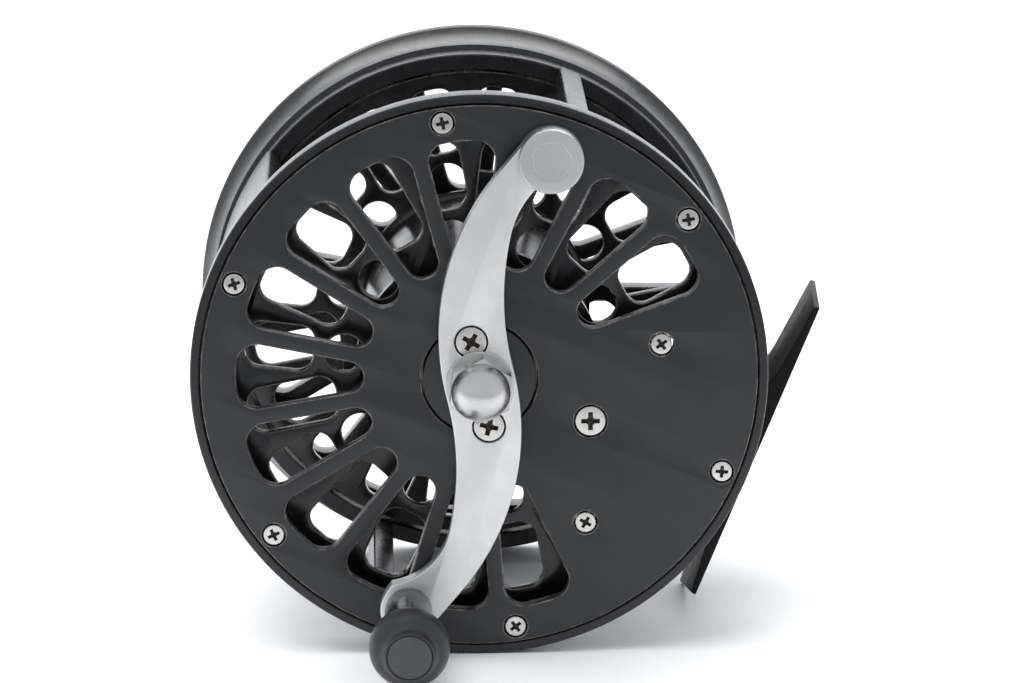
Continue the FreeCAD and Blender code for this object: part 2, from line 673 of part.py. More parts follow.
gear_blank = lathe("gear_blank", (
    ("spigot_radius", "-disc_depth"),
    ("gear_tip_radius", "-disc_depth"),
    ("gear_tip_radius", "-gear_depth"),
    ("spigot_radius", "-gear_depth"),
))


def gear_gaps():
    """The vee-shaped gaps between the click gear's teeth, and its two screw holes."""
    tip, root = dim("gear_tip_radius"), dim("gear_tip_radius") - dim("gear_tooth_depth")
    half = (tip + 0.3) * math.sin(math.radians(150 / dim("gear_teeth")))
    low, high = -dim("gear_depth") - 1, -dim("disc_depth") + 1
    corners = [Vector(root, 0, low), Vector(tip + 0.3, -half, low), Vector(tip + 0.3, half, low)]
    gap = Part.Face(Part.makePolygon(corners + corners[:1])).extrude(Vector(0, 0, high - low))
    holes = around(rod(dim("large_shank_radius"), low, high), screw_angles, at=(screw_radius, 0, 0))
    return Part.makeCompound([around(gap, steps(dim("gear_teeth"))), holes])


keep(cut("gear_cut", gear_blank, shaped("gear_gaps", gear_gaps())), "click_gear", crank_place)

disc_blank = lathe("disc_blank", (
    ("stud_radius", "0"),
    ("disc_radius - 0.2", "0"),
    ("disc_radius", "-0.2"),
    ("disc_radius", "-disc_depth"),
    ("stud_radius", "-disc_depth"),
))
crank_bolts = around(rod(dim("large_shank_radius"), -8, 5), screw_angles, at=(screw_radius, 0, 0))
disc = cut("disc_cut", disc_blank, shaped("disc_holes", crank_bolts))
keep(disc, "drive_disc", crank_place)

spacer = lathe("spacer_blank", (
    ("stud_radius", "0"),
    ("6.2", "0"),
    ("6.2", "crank_back"),
    ("stud_radius", "crank_back"),
))
keep(spacer, "crank_spacer", crank_place)

# ---------------------------------------------------------------- crank


def curved_sides(sign):
    """A long side of the crank: it bulges past the axis and then curves in."""
    minus, flip = ("", "-") if sign > 0 else ("-", "")
    return [
        (f"{minus}37.5", f"{minus}7.92", "46.0", 1),
        (f"{flip}4.36", f"{minus}4.78", "52.3", -1),
    ]


crank_outline = curved_sides(1) + [
    ("-27.27", "-2.72", "12.6", -1),
    ("-39.6", "4.2", "9.43", 1),
    ("-handle_reach", "handle_end_radius", "handle_end_radius", 1),
    ("-handle_reach - handle_end_radius", "0", "handle_end_radius", 1),
    ("-45.34", "-4.62"),
]
crank_outline += curved_sides(-1) + [
    ("27.27", "2.72", "17.0", -1),
    ("36.52", "0.87", "weight_end_radius", 1),
    ("weight_reach", "-weight_end_radius", "weight_end_radius", 1),
    ("weight_reach + weight_end_radius", "0", "weight_end_radius", 1),
    ("44.16", "5.12"),
]
crank_blank = plate_of("crank_blank", crank_outline, "crank_back", "crank_front")

weight_top = rod(dim("weight_radius"), dim("weight_lap"), dim("weight_front") + 1, dim("weight_reach"))
crank_cuts = [weight_top, rod(1.25, 0, 5, dim("weight_reach")), rod(1.6, 0, 5, -dim("handle_reach"))]
crank_cuts.append(rod(dim("stud_radius"), 0, 5))
crank_cuts.append(Part.makeCone(2.3, 1.25, 1.05, Vector(dim("weight_reach"), 0, dim("crank_back"))))
head_floor = dim("crank_front") - dim("head_depth")
head_recess = rod(dim("large_recess_radius"), head_floor, 6)
crank_cuts.append(around(head_recess, screw_angles, at=(screw_radius, 0, 0)))
crank_cuts.append(crank_bolts)
crank = cut("crank_cut", crank_blank, shaped("crank_cuts", Part.makeCompound(crank_cuts)))
keep(crank, "crank_arm", crank_place)

crank_spots = [at_polar(screw_radius, angle, dim("crank_front") + HEAD_SINK, roll)
               for angle, roll in zip(screw_angles, (48, 65))]
group("crank_screws", crank_screw, crank_spots, crank_place)

weight_blank = lathe("weight_blank", (
    ("0", "crank_back"),
    ("weight_radius - 0.2", "crank_back"),
    ("weight_radius", "crank_back + 0.2"),
    ("weight_radius", "weight_front - 0.35"),
    ("weight_radius - 0.35", "weight_front"),
    ("0", "weight_front"),
))
arm_lap = crank.Shape.copy()
arm_lap.Placement = Placement(Vector(-dim("weight_reach"), 0, 0), Rotation())
weight_cuts = Part.makeCompound([arm_lap.fuse(rod(2.4, 0, dim("weight_lap"))), rod(1.25, 2, 4.6)])
weight = cut("weight_cut", weight_blank, shaped("weight_cuts", weight_cuts))
keep(weight, "counterweight", weight_place)

weight_screw = lathe("weight_screw_blank", (
    ("0", "crank_back + 0.05"),
    ("2.2", "crank_back + 0.05"),
    ("1.25", "crank_back + 1.05"),
    ("1.25", "4.4"),
    ("0", "4.4"),
))
slot_bar = shaped("weight_screw_slot", box((-3, 3), (-0.3, 0.3), (0, dim("crank_back") + 0.6)))
keep(cut("weight_screw_cut", weight_screw, slot_bar), "counterweight_screw", weight_place)

stud = lathe("stud_blank", (
    ("0", "-12.6"),
    ("stud_radius", "-12.6"),
    ("stud_radius", "8.6"),
    ("stud_radius - 0.4", "9.0"),
    ("0", "9.0"),
))
keep(stud, "crank_stud", crank_place)

nut_blank = lathe("nut_blank", (
    ("stud_radius", "crank_front"),
    ("nut_flange_radius", "crank_front"),
    ("nut_flange_radius", "nut_dome_base - 0.9"),
    ("nut_dome_radius + 0.2", "nut_dome_base - 0.3"),
    ("nut_dome_radius", "nut_dome_base"),
    ("nut_dome_radius", "nut_dome_base + 0.7", "5.3", 1),
    ("0.4", "nut_dome_base + 4.8"),
    ("0", "nut_dome_base + 4.8"),
    ("0", "9.4"),
    ("stud_radius", "9.4"),
))


def hex_waste():
    """What is milled off the turned nut to leave its six flats."""
    corner = dim("nut_hex_flats") / 2 / math.cos(math.radians(30))
    low, high = dim("crank_front") + 0.7, dim("nut_dome_base") + 0.1
    spots = [Vector(corner * math.cos(math.radians(60 * k)), corner * math.sin(math.radians(60 * k)), low)
             for k in range(6)]
    hexagon = Part.Face(Part.makePolygon(spots + spots[:1])).extrude(Vector(0, 0, high - low))
    return rod(8, low, high).cut(hexagon)


nut = cut("nut_cut", nut_blank, shaped("hex_waste", hex_waste()))
keep(nut, "crank_cap_nut", turned_by(dim("crank_angle") + 12))

# ---------------------------------------------------------------- handle

handle_pin = lathe("handle_pin_blank", (
    ("0", "crank_back"),
    ("pin_radius", "crank_back"),
    ("pin_radius", "crank_front"),
    ("3.0", "crank_front"),
    ("3.0", "knob_start - 0.1"),
    ("pin_radius", "knob_start - 0.1"),
    ("pin_radius", "26.0"),
    ("0.9", "26.0"),
    ("0.9", "20.0"),
    ("0", "20.0"),
))
keep(handle_pin, "handle_pin", handle_place)

handle_screw = lathe("handle_screw_blank", (
    ("0", "20.5"),
    ("0.9", "20.5"),
    ("0.9", "26.05"),
    ("2.5", "26.05"),
    ("2.5", "27.3"),
    ("0", "27.3"),
))
handle_slot = shaped("handle_screw_slot", box((-3, 3), (-0.35, 0.35), (26.6, 28)))
keep(cut("handle_screw_cut", handle_screw, handle_slot), "handle_screw", handle_place)

sleeve = lathe("sleeve_blank", (
    ("2.3", "knob_start"),
    ("neck_radius - 0.4", "knob_start"),
    ("neck_radius", "knob_start + 0.4"),
    ("neck_radius", "19.2"),
    ("3.4", "19.2"),
    ("3.4", "23.0"),
    ("2.3", "23.0"),
))
keep(sleeve, "handle_sleeve", handle_place)

bush_blank = lathe("bush_blank", (
    ("pin_radius + 0.06", "0"),
    ("2.3", "0"),
    ("2.3", "4.5"),
    ("pin_radius + 0.06", "4.5"),
))
bush_spots = [Placement(Vector(0, 0, height), Rotation()) for height in (5.0, 17.5)]
group("handle_bushes", bush_blank, bush_spots, handle_place)

knob = lathe("knob_blank", (
    ("3.4", "19.2"),
    ("4.4", "19.2", "6.0", -1),
    ("6.3", "22.0", "4.5", 1),
    ("knob_radius", "24.8", "3.8", 1),
    ("5.6", "27.9", "2.2", -1),
    ("4.55", "29.2"),
    ("4.4", "knob_front - 0.35", "0.35", 1),
    ("4.05", "knob_front"),
    ("cap_radius", "knob_front - 0.1"),
    ("cap_radius", "28.2"),
    ("3.2", "28.2"),
    ("3.2", "23.2"),
    ("3.4", "23.2"),
))
keep(knob, "handle_knob", handle_place)

cap = lathe("cap_blank", (
    ("0", "28.2"),
    ("cap_radius", "28.2"),
    ("cap_radius", "knob_front - 0.2"),
    ("cap_radius - 0.2", "knob_front"),
    ("0", "knob_front"),
))
keep(cap, "handle_knob_cap", handle_place)

# ---------------------------------------------------------------- spindle and bearings

spindle = lathe("spindle_blank", (
    ("0", "-13.3"),
    ("bearing_inner", "-13.3"),
    ("bearing_inner", "-13.6"),
    ("bearing_inner - 0.4", "-13.6"),
    ("bearing_inner - 0.4", "-bearing_front"),
    ("bearing_inner", "-bearing_front"),
    ("bearing_inner", "-hub_rear"),
    ("4.3", "-hub_rear"),
    ("4.3", "-hub_rear - 0.8"),
    ("shoulder_radius", "-hub_rear - 0.8"),
    ("shoulder_radius", "-reel_depth"),
    ("tail_radius", "-reel_depth"),
    ("tail_radius", "-reel_depth - 4.0"),
    ("1.25", "-reel_depth - 4.0"),
    ("1.25", "-reel_depth + 3.3"),
    ("0", "-reel_depth + 3.3"),
))
keep(spindle, "spindle", frame_place)

circlip = lathe("circlip_blank", (
    ("bearing_inner - 0.4", "-13.6"),
    ("4.6", "-13.6"),
    ("4.6", "-bearing_front"),
    ("bearing_inner - 0.4", "-bearing_front"),
))
clip_gap = shaped("circlip_gap", box((0, 6), (-0.8, 0.8), (-15, -13)))
keep(cut("circlip_cut", circlip, clip_gap), "spindle_circlip", frame_place)


def race(name, inner, outer, front):
    """One ring of a ball bearing, before its groove."""
    return lathe(name, (
        (inner, f"-({front})"),
        (outer, f"-({front})"),
        (outer, f"-({front}) - bearing_width"),
        (inner, f"-({front}) - bearing_width"),
    ))


def bearing(label, front):
    """A ball bearing: its inner ring and balls stay on the spindle, its outer ring turns."""
    middle = -value(front) - dim("bearing_width") / 2
    groove = Part.makeTorus(dim("ball_circle"), dim("ball_radius") + 0.07)
    groove.Placement = Placement(Vector(0, 0, middle), Rotation(Vector(0, 0, 1), 7))
    inner_race = race(f"{label}_inner_blank", "bearing_inner", "ball_circle - 0.65", front)
    inner_race = cut(f"{label}_inner_cut", inner_race, shaped(f"{label}_inner_groove", groove))
    keep(inner_race, f"{label}_inner_race", frame_place)
    outer_race = race(f"{label}_outer_blank", "ball_circle + 0.65", "bearing_outer", front)
    outer_race = cut(f"{label}_outer_cut", outer_race, shaped(f"{label}_outer_groove", groove))
    keep(outer_race, f"{label}_outer_race", crank_place)
    ball = Part.makeSphere(dim("ball_radius"))
    balls = around(ball, steps(dim("ball_count")), at=(dim("ball_circle"), 0, middle))
    keep(shaped(f"{label}_ball_ring", balls), f"{label}_balls", frame_place)


bearing("front_bearing", "bearing_front")
bearing("rear_bearing", "hub_rear - bearing_width")

# ---------------------------------------------------------------- drag

rotor_blank = lathe("rotor_blank", (
    ("6.0", "-hub_rear"),
    ("rotor_radius", "-hub_rear"),
    ("rotor_radius", "-hub_rear - 1.6"),
    ("6.0", "-hub_rear - 1.6"),
))
drill(rotor_blank, "rotor_hole", "8.55", "0", "0.95", "-hub_rear", "-hub_rear - 1.6", "3")
drill(rotor_blank, "rotor_recess", "8.55", "0", "1.9", "-hub_rear - 0.7", "-hub_rear - 1.6", "3")
keep(rotor_blank, "drag_rotor", crank_place)

rotor_screw = lathe("rotor_screw_blank", (
    ("0", "-hub_rear - 1.5"),
    ("1.8", "-hub_rear - 1.5"),
    ("1.8", "-hub_rear - 0.7"),
    ("0.95", "-hub_rear - 0.7"),
    ("0.95", "-hub_rear + 3.6"),
    ("0", "-hub_rear + 3.6"),
))
rotor_slot = shaped("rotor_screw_slot", box((-2, 2), (-0.25, 0.25), (-58, -dim("hub_rear") - 1.1)))
rotor_screw = cut("rotor_screw", rotor_screw, rotor_slot)
group("drag_rotor_screws", rotor_screw, [at_polar(8.55, angle, 0, 15) for angle in steps(3)], crank_place)

friction_disc = lathe("friction_blank", (
    ("11.2", "-hub_rear - 1.6 - drag_gap"),
    ("16.0", "-hub_rear - 1.6 - drag_gap"),
    ("16.0", "-hub_rear - 2.8 - drag_gap"),
    ("11.2", "-hub_rear - 2.8 - drag_gap"),
))
keep(friction_disc, "drag_friction_disc", frame_place)

PLATE_TOP, PLATE_BOTTOM = "-hub_rear - 2.8 - drag_gap", "-59.4"
pressure_plate = lathe("pressure_blank", (
    ("shoulder_radius + 0.05", PLATE_TOP),
    ("16.3", PLATE_TOP),
    ("16.3", PLATE_BOTTOM),
    ("shoulder_radius + 0.05", PLATE_BOTTOM),
))
guide_x, guide_y = "12.5 * cos(30)", "12.5 * sin(30)"
drill(pressure_plate, "guide_hole", guide_x, guide_y, "1.05", PLATE_TOP, PLATE_BOTTOM, "3")
keep(pressure_plate, "drag_pressure_plate", frame_place)

guide_pin = shaped("guide_pin", rod(1.0, -64.4, -57.9))
group("drag_guide_pins", guide_pin, [at_polar(12.5, angle, 0) for angle in steps(3, 30)], frame_place)

spring_washer = lathe("spring_washer_blank", (
    ("shoulder_radius + 0.1", "-59.4"),
    ("shoulder_radius + 0.7", "-59.4"),
    ("8.6", "-59.85"),
    ("8.6", "-60.15"),
    ("shoulder_radius + 0.7", "-60.9"),
    ("shoulder_radius + 0.1", "-60.9"),
    ("shoulder_radius + 0.1", "-60.6"),
    ("7.9", "-60.0"),
    ("shoulder_radius + 0.1", "-59.7"),
))
keep(spring_washer, "drag_spring_washers", frame_place)

drag_knob_blank = lathe("drag_knob_blank", (
    ("tail_radius + 0.05", "-drag_knob_front"),
    ("drag_knob_radius - 1.2", "-drag_knob_front"),
    ("drag_knob_radius - 0.4", "-drag_knob_front - 0.8"),
    ("drag_knob_radius", "-drag_knob_front - 1.4"),
    ("drag_knob_radius", "1.6 - drag_knob_rear", "1.6", -1),
    ("drag_knob_radius - 1.6", "-drag_knob_rear"),
    ("5.4", "-drag_knob_rear"),
    ("5.0", "0.5 - drag_knob_rear"),
    ("5.0", "2.4 - drag_knob_rear"),
    ("tail_radius + 0.05", "2.4 - drag_knob_rear"),
))
flute = rod(1.7, -80, -dim("drag_knob_front") + 1)
knob_cuts = [around(flute, steps(15), at=(dim("drag_knob_radius") + 0.75, 0, 0))]
detent_height = -dim("drag_knob_front") + 0.35
knob_cuts.append(Part.makeTorus(9.5, 1.12, Vector(0, 0, detent_height - 0.1)))
drag_knob = cut("drag_knob_cut", drag_knob_blank, shaped("drag_knob_cuts", Part.makeCompound(knob_cuts)))
keep(drag_knob, "drag_knob", frame_place)

drag_screw = lathe("drag_screw_blank", (
    ("0", "-reel_depth + 3.2"),
    ("1.25", "-reel_depth + 3.2"),
    ("1.25", "2.35 - drag_knob_rear"),
    ("4.6", "2.35 - drag_knob_rear"),
    ("4.6", "0.2 - drag_knob_rear"),
    ("4.2", "-drag_knob_rear - 0.2"),
    ("0", "-drag_knob_rear - 0.4"),
))
hex_socket = [Vector(1.9 * math.cos(math.radians(60 * k)), 1.9 * math.sin(math.radians(60 * k)), -75)
              for k in range(6)]
socket = Part.Face(Part.makePolygon(hex_socket + hex_socket[:1])).extrude(Vector(0, 0, 3.0))
keep(cut("drag_screw_cut", drag_screw, shaped("drag_socket", socket)), "drag_knob_screw", frame_place)

detent_ball = shaped("detent_sphere", Part.makeSphere(0.95, Vector(0, 9.5, detent_height)))
keep(detent_ball, "detent_ball", frame_place)


def detent_spring():
    """A short coil spring behind the detent ball, its ends closed."""
    low, high, radius, wire = -dim("rear_inner") - 0.85, detent_height + 0.9, 0.68, 0.16
    helix = Part.makeHelix((low - high) / 4, low - high, radius)
    helix.translate(Vector(0, 9.5, high))
    start = Vector(radius, 9.5, high)
    circle = Part.Wire(Part.makeCircle(wire, start, Vector(0, 1, 0)))
    return Part.Wire(helix.Edges).makePipeShell([circle], True, True)


keep(shaped("detent_coil", detent_spring()), "detent_spring", frame_place)


# ---------------------------------------------------------------- checks and output

doc.recompute()
for item in doc.Objects:
    if "Invalid" in item.State or "Error" in item.State:
        raise RuntimeError(f"{item.Name} failed")
os.makedirs("parts", exist_ok=True)
for part in parts:
    if part.Shape.isNull() or not part.Shape.isValid():
        raise RuntimeError(f"{part.Label} has no valid shape")
    part.Shape.exportStep(f"parts/{part.Label}.step")
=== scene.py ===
import json
import math

import bmesh
import bpy
from mathutils import Matrix, Vector
from mathutils.geometry import tessellate_polygon


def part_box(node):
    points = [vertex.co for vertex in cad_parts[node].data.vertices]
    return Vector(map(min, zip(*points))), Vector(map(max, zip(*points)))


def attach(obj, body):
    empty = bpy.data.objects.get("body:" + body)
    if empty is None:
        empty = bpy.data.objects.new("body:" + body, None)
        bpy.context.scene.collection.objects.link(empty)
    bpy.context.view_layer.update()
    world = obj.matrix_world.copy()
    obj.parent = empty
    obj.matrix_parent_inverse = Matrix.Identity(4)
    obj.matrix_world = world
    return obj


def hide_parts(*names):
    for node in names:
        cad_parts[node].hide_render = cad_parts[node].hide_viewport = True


# A fly reel on a pale table. Pieces are drawn in millimetres in the reel's own frame: +Z out of
# the face plate towards the crank, z = 0 on the face plate's front, +X towards the foot (or, on
# the turning parts, towards the counterweight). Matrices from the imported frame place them.

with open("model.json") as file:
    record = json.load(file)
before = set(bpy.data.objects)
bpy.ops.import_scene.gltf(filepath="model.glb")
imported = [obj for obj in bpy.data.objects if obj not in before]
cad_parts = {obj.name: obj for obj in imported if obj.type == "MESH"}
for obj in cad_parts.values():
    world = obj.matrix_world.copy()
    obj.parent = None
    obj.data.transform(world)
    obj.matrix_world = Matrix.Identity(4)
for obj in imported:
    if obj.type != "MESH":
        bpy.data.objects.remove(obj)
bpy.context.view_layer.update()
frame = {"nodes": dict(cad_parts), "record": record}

MM = 0.001

# ---------------------------------------------------------------- sizes, in millimetres

RIM_RADIUS = 51.0
RING_DEPTH = 4.3
BORE_RADIUS = 45.1
PILLAR_RADIUS = 48.3
PILLAR_HALF_ANGLE = 16.5
SLIM_PILLAR_HALF_ANGLE = 2.5
CUP_FRONT = 52.4
CUP_STEP = 57.5
CUP_FRONT_RADIUS = 47.9
CUP_STEP_RADIUS = 48.7
REEL_DEPTH = 66.3
REAR_INNER = 62.2
FRAME_BORE, BOSS_RADIUS, BOSS_RISE = 5.05, 9.0, 1.3
PLATE_RADIUS = 49.15
PLATE_SEAM = 0.2
PLATE_THICKNESS = 2.15
SLOT_COUNT, FACE_SLOT_COUNT = 17, 13
SLOT_OUTER = 42.8
SLOT_CORNER = 2.84
SPOKE_WIDTH = 2.86
PLATE_SCREW_CIRCLE = 46.37
SMALL_HEAD, SMALL_RECESS, SMALL_SHANK = 1.84, 2.12, 0.95
LARGE_HEAD, LARGE_RECESS, LARGE_SHANK = 2.7, 2.95, 1.5
POST_CIRCLE, POST_ANGLE, PAWL_CIRCLE = 32.6, 32.7, 21.15
HEAD_DEPTH = 1.5
FLANGE_RADIUS = 44.5
FRONT_FLANGE, REAR_FLANGE, FLANGE_THICKNESS = 7.1, 53.5, 2.0
ARBOR_RADIUS, ARBOR_WALL = 20.4, 2.0
WINDOW_COUNT = 20
WINDOW_WIDTH, WINDOW_OUTER, WINDOW_SHORT, WINDOW_LONG = 8.3, 41.7, 29.4, 25.7
WINDOW_CORNER, WINDOW_PHASE = 2.9, 28.15
HOLE_CIRCLE, HOLE_RADIUS = 24.0, 3.45
HUB_RADIUS, HUB_BORE, HUB_FRONT, HUB_REAR = 10.6, 6.5, 13.0, 54.6
DISC_RADIUS, DISC_SEAM, DISC_DEPTH = 9.95, 0.35, 4.6
SEAT_RADIUS, SPIGOT_RADIUS, GEAR_DEPTH = 12.0, 5.4, 6.4
GEAR_TEETH, GEAR_TIP, GEAR_TOOTH = 36, 14.2, 1.3
CRANK_BACK, CRANK_FRONT = 1.02, 4.08
WEIGHT_REACH, HANDLE_REACH, WEIGHT_END, HANDLE_END = 42.0, 43.4, 5.55, 5.0
CRANK_SCREW = (6.87, 3.75)
WEIGHT_RADIUS, WEIGHT_FRONT = 5.7, 5.8
STUD_RADIUS = 2.5
NUT_FLANGE, NUT_FLATS, NUT_DOME, NUT_DOME_BASE, NUT_TOP = 6.1, 10.3, 5.15, 9.2, 14.0
NUT_ROLL = 12
HANDLE_START, KNOB_FRONT, NECK_RADIUS, KNOB_RADIUS, CAP_RADIUS = 4.4, 30.4, 4.23, 7.04, 3.95
SLEEVE_BORE, SLEEVE_NOSE, SLEEVE_SHOULDER, SLEEVE_END = 2.3, 3.4, 19.2, 23.0
CAP_BACK, CAP_RECESS = 28.3, 28.2
FOOT_SEAT, FOOT_INNER, FOOT_LEDGE, FOOT_TIP = 55.6, 51.5, 53.2, 54.6
FOOT_LOWER, FOOT_UPPER, FOOT_LOWER_CANT, FOOT_UPPER_CANT = 32.46, 30.4, 2.86, 1.5
FOOT_SHOULDER, PEDESTAL_HALF, PEDESTAL_ROOT = 15.0, 9.0, 47.0
DRAG_KNOB_RADIUS, FLUTES, FLUTE_RADIUS = 13.5, 15, 1.7
SHARP_ANGLE = 35
SCREW_SINK = -0.1

# ---------------------------------------------------------------- places, from the frame

joints = {joint["name"]: joint for joint in frame["record"]["behaviour"]["joints"]}
foot_seat = next(mount for mount in frame["record"]["mounts"] if mount["name"] == "foot_seat")
axis_point = Vector(joints["spool_spin"]["pos_m"])
handle_point = Vector(joints["handle_spin"]["pos_m"])
origin = Vector((axis_point.x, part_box("face_plate")[0].y, axis_point.z))
foot_angle = math.atan2(foot_seat["axis"][2], foot_seat["axis"][0])
handle_offset = axis_point - handle_point
crank_angle = math.atan2(handle_offset.z, handle_offset.x)


def reel_matrix(angle, x=0.0, z=0.0):
    """From a piece's own millimetres to the world, turned about the reel's axis."""
    stand = Matrix.Translation(origin) @ Matrix.Rotation(math.radians(90), 4, "X")
    return stand @ Matrix.Rotation(angle, 4, "Z") @ Matrix.Scale(MM, 4) @ Matrix.Translation((x, 0, z))


FRAME_PLACE = reel_matrix(foot_angle)
CRANK_PLACE = reel_matrix(crank_angle)
WEIGHT_PLACE = reel_matrix(crank_angle, WEIGHT_REACH)
HANDLE_PLACE = reel_matrix(crank_angle, -HANDLE_REACH)

# ---------------------------------------------------------------- outlines


def polar(radius, degrees):
    return (radius * math.cos(math.radians(degrees)), radius * math.sin(math.radians(degrees)))


def circle(radius, segments=48, x=0.0, y=0.0):
    spots = (polar(radius, 360 * k / segments) for k in range(segments))
    return [(x + px, y + py) for px, py in spots]


def arc_points(start, end, radius, side, steps):
    """Points after start up to end on the short arc; side is 1 if its centre lies to the left."""
    a, b = Vector(start), Vector(end)
    chord = b - a
    left = Vector((-chord.y, chord.x)).normalized()
    centre = (a + b) / 2 + left * side * math.sqrt(max(radius ** 2 - (chord.length / 2) ** 2, 0))
    first = math.atan2(a.y - centre.y, a.x - centre.x)
    sweep = 2 * math.asin(min(chord.length / 2 / radius, 1)) * side
    angles = (first + sweep * k / steps for k in range(1, steps + 1))
    return [(centre.x + radius * math.cos(t), centre.y + radius * math.sin(t)) for t in angles]


def path(points, steps=16):
    """A closed outline. A point is (x, y), or (x, y, radius, side) where it starts an arc."""
    outline = []
    for index, point in enumerate(points):
        following = points[(index + 1) % len(points)]
        if len(point) == 2:
            outline.append(following[:2])
        else:
            outline.extend(arc_points(point[:2], following[:2], point[2], point[3], steps))
    return outline


def filleted(points, steps=7):
    """A closed outline with each corner (x, y, radius) rounded."""
    outline = []
    for index, (x, y, radius) in enumerate(points):
        here = Vector((x, y))
        before = (Vector(points[index - 1][:2]) - here).normalized()
        after = (Vector(points[(index + 1) % len(points)][:2]) - here).normalized()
        if radius <= 0:
            outline.append((x, y))
            continue
        half = before.angle(after) / 2
        reach = radius / math.tan(half)
        start, end = here + before * reach, here + after * reach
        side = 1 if before.cross(after) < 0 else -1
        outline.append(tuple(start))
        outline.extend(arc_points(start, end, radius, side, steps))
    return outline


def turned(outline, degrees, x=0.0, y=0.0):
    """An outline moved and then turned about the axis."""
    c, s = math.cos(math.radians(degrees)), math.sin(math.radians(degrees))
    return [((px + x) * c - (py + y) * s, (px + x) * s + (py + y) * c) for px, py in outline]


def area(outline):
    pairs = zip(outline, outline[1:] + outline[:1])
    return sum(a[0] * b[1] - b[0] * a[1] for a, b in pairs) / 2


def wound(outline, counterclockwise):
    return outline if (area(outline) > 0) == counterclockwise else outline[::-1]


def thinned(outline, least=1e-4):
    """The outline without points that coincide with the one before."""
    kept = []
    for spot in outline:
        if not kept or math.dist(spot, kept[-1]) > least:
            kept.append(spot)
    if math.dist(kept[0], kept[-1]) < least:
        kept.pop()
    return kept


def inset(outline, amount):
    """Every point moved to the left of its path by an amount, with mitred corners."""
    moved = []
    for index, spot in enumerate(outline):
        here = Vector(spot)
        first = (here - Vector(outline[index - 1])).normalized()
        second = (Vector(outline[(index + 1) % len(outline)]) - here).normalized()
        a, b = Vector((-first.y, first.x)), Vector((-second.y, second.x))
        mitre = (a + b).normalized()
        moved.append(tuple(here + mitre * (amount / max(mitre.dot(a), 0.35))))
    return moved


# ---------------------------------------------------------------- meshes


def shown(name, build, sharp=SHARP_ANGLE):
    """An object from a bmesh, smooth except at its sharp edges."""
    mesh = bpy.data.meshes.new(name)
    build.to_mesh(mesh)
    build.free()
    mesh.polygons.foreach_set("use_smooth", [True] * len(mesh.polygons))
    mesh.set_sharp_from_angle(angle=math.radians(sharp))
    piece = bpy.data.objects.new(name, mesh)
    bpy.context.scene.collection.objects.link(piece)
    return piece


def finished(name, build, sharp=SHARP_ANGLE):
    """An object from a bmesh with its doubles merged and its faces turned outwards."""
    bmesh.ops.remove_doubles(build, verts=build.verts, dist=1e-5)
    bmesh.ops.recalc_face_normals(build, faces=build.faces)
    return shown(name, build, sharp)


def bridge(build, lower, upper, material=0):
    count = len(lower)
    for k in range(count):
        after = (k + 1) % count
        face = build.faces.new((lower[k], lower[after], upper[after], upper[k]))
        face.material_index = material


def plate(name, loops, bottom, top, bevel=0.15, steps=2, plain_outline=False):
    """A flat piece: loops[0] is its outline and the rest its holes, with rounded-over edges."""
    build = bmesh.new()
    lids = {"top": [], "bottom": []}
    for number, loop in enumerate(loops):
        loop = thinned(wound(loop, number == 0))
        size = 0 if plain_outline and number == 0 else bevel
        turns = [math.radians(90) * k / steps for k in range(0 if size else steps, steps + 1)]
        curve = [(size * (1 - math.sin(turn)), size * (1 - math.cos(turn))) for turn in turns]
        rings = [(inset(loop, across), top - down) for across, down in curve]
        rings += [(inset(loop, across), bottom + down) for across, down in reversed(curve)]
        built = [[build.verts.new((x, y, z)) for x, y in ring] for ring, z in rings]
        for index, (upper, lower) in enumerate(zip(built, built[1:])):
            # Bevel faces take the second material; on black parts that is the lighter edge tone, partly
            # painted highlight.
            bridge(build, lower, upper, 0 if index == len(curve) - 1 else 1)
        lids["top"].append(built[0])
        lids["bottom"].append(built[-1])
    for rings in lids.values():
        corners = [vert for ring in rings for vert in ring]
        flat = [[Vector((vert.co.x, vert.co.y, 0)) for vert in ring] for ring in rings]
        for triple in tessellate_polygon(flat):
            build.faces.new([corners[k] for k in triple])
    return finished(name, build)


def lathe(name, profile, segments=160, radius_at=None, sharp=SHARP_ANGLE):
    """A turned piece: a closed outline of (radius, height) revolved about Z."""
    build = bmesh.new()
    profile = thinned(profile)
    rings = []
    for radius, height in profile:
        ring = []
        for k in range(segments):
            angle = 2 * math.pi * k / segments
            r = radius_at(angle, radius, height) if radius_at else radius
            ring.append(build.verts.new((r * math.cos(angle), r * math.sin(angle), height)))
        rings.append(ring)
    for index, ring in enumerate(rings):
        following = rings[(index + 1) % len(rings)]
        if profile[index][0] < 1e-6 and profile[(index + 1) % len(profile)][0] < 1e-6:
            continue
        bridge(build, ring, following)
    bmesh.ops.remove_doubles(build, verts=build.verts, dist=1e-5)
    bmesh.ops.dissolve_degenerate(build, edges=build.edges, dist=1e-6)
    return finished(name, build, sharp)


def joined(name, pieces):
    """Several meshes as one object."""
    build = bmesh.new()
    for piece in pieces:
        build.from_mesh(piece.data)
        mesh = piece.data
        bpy.data.objects.remove(piece)
        bpy.data.meshes.remove(mesh)
    return shown(name, build)


def copies(name, master, places):
    """One object with a copy of a mesh at each place; the master goes."""
    build = bmesh.new()
    for place in places:
        mesh = master.data.copy()
        mesh.transform(place)
        build.from_mesh(mesh)
        bpy.data.meshes.remove(mesh)
    mesh = master.data
    bpy.data.objects.remove(master)
    bpy.data.meshes.remove(mesh)
    return shown(name, build)


def carve(piece, cutter):
    """The piece without the cutter's volume."""
    change = piece.modifiers.new("carve", "BOOLEAN")
    change.operation = "DIFFERENCE"
    change.solver = "EXACT"
    change.object = cutter
    result = piece.evaluated_get(bpy.context.evaluated_depsgraph_get())
    mesh = bpy.data.meshes.new_from_object(result)
    piece.modifiers.clear()
    piece.data = mesh
    mesh.set_sharp_from_angle(angle=math.radians(SHARP_ANGLE))
    bpy.data.objects.remove(cutter)
    return piece


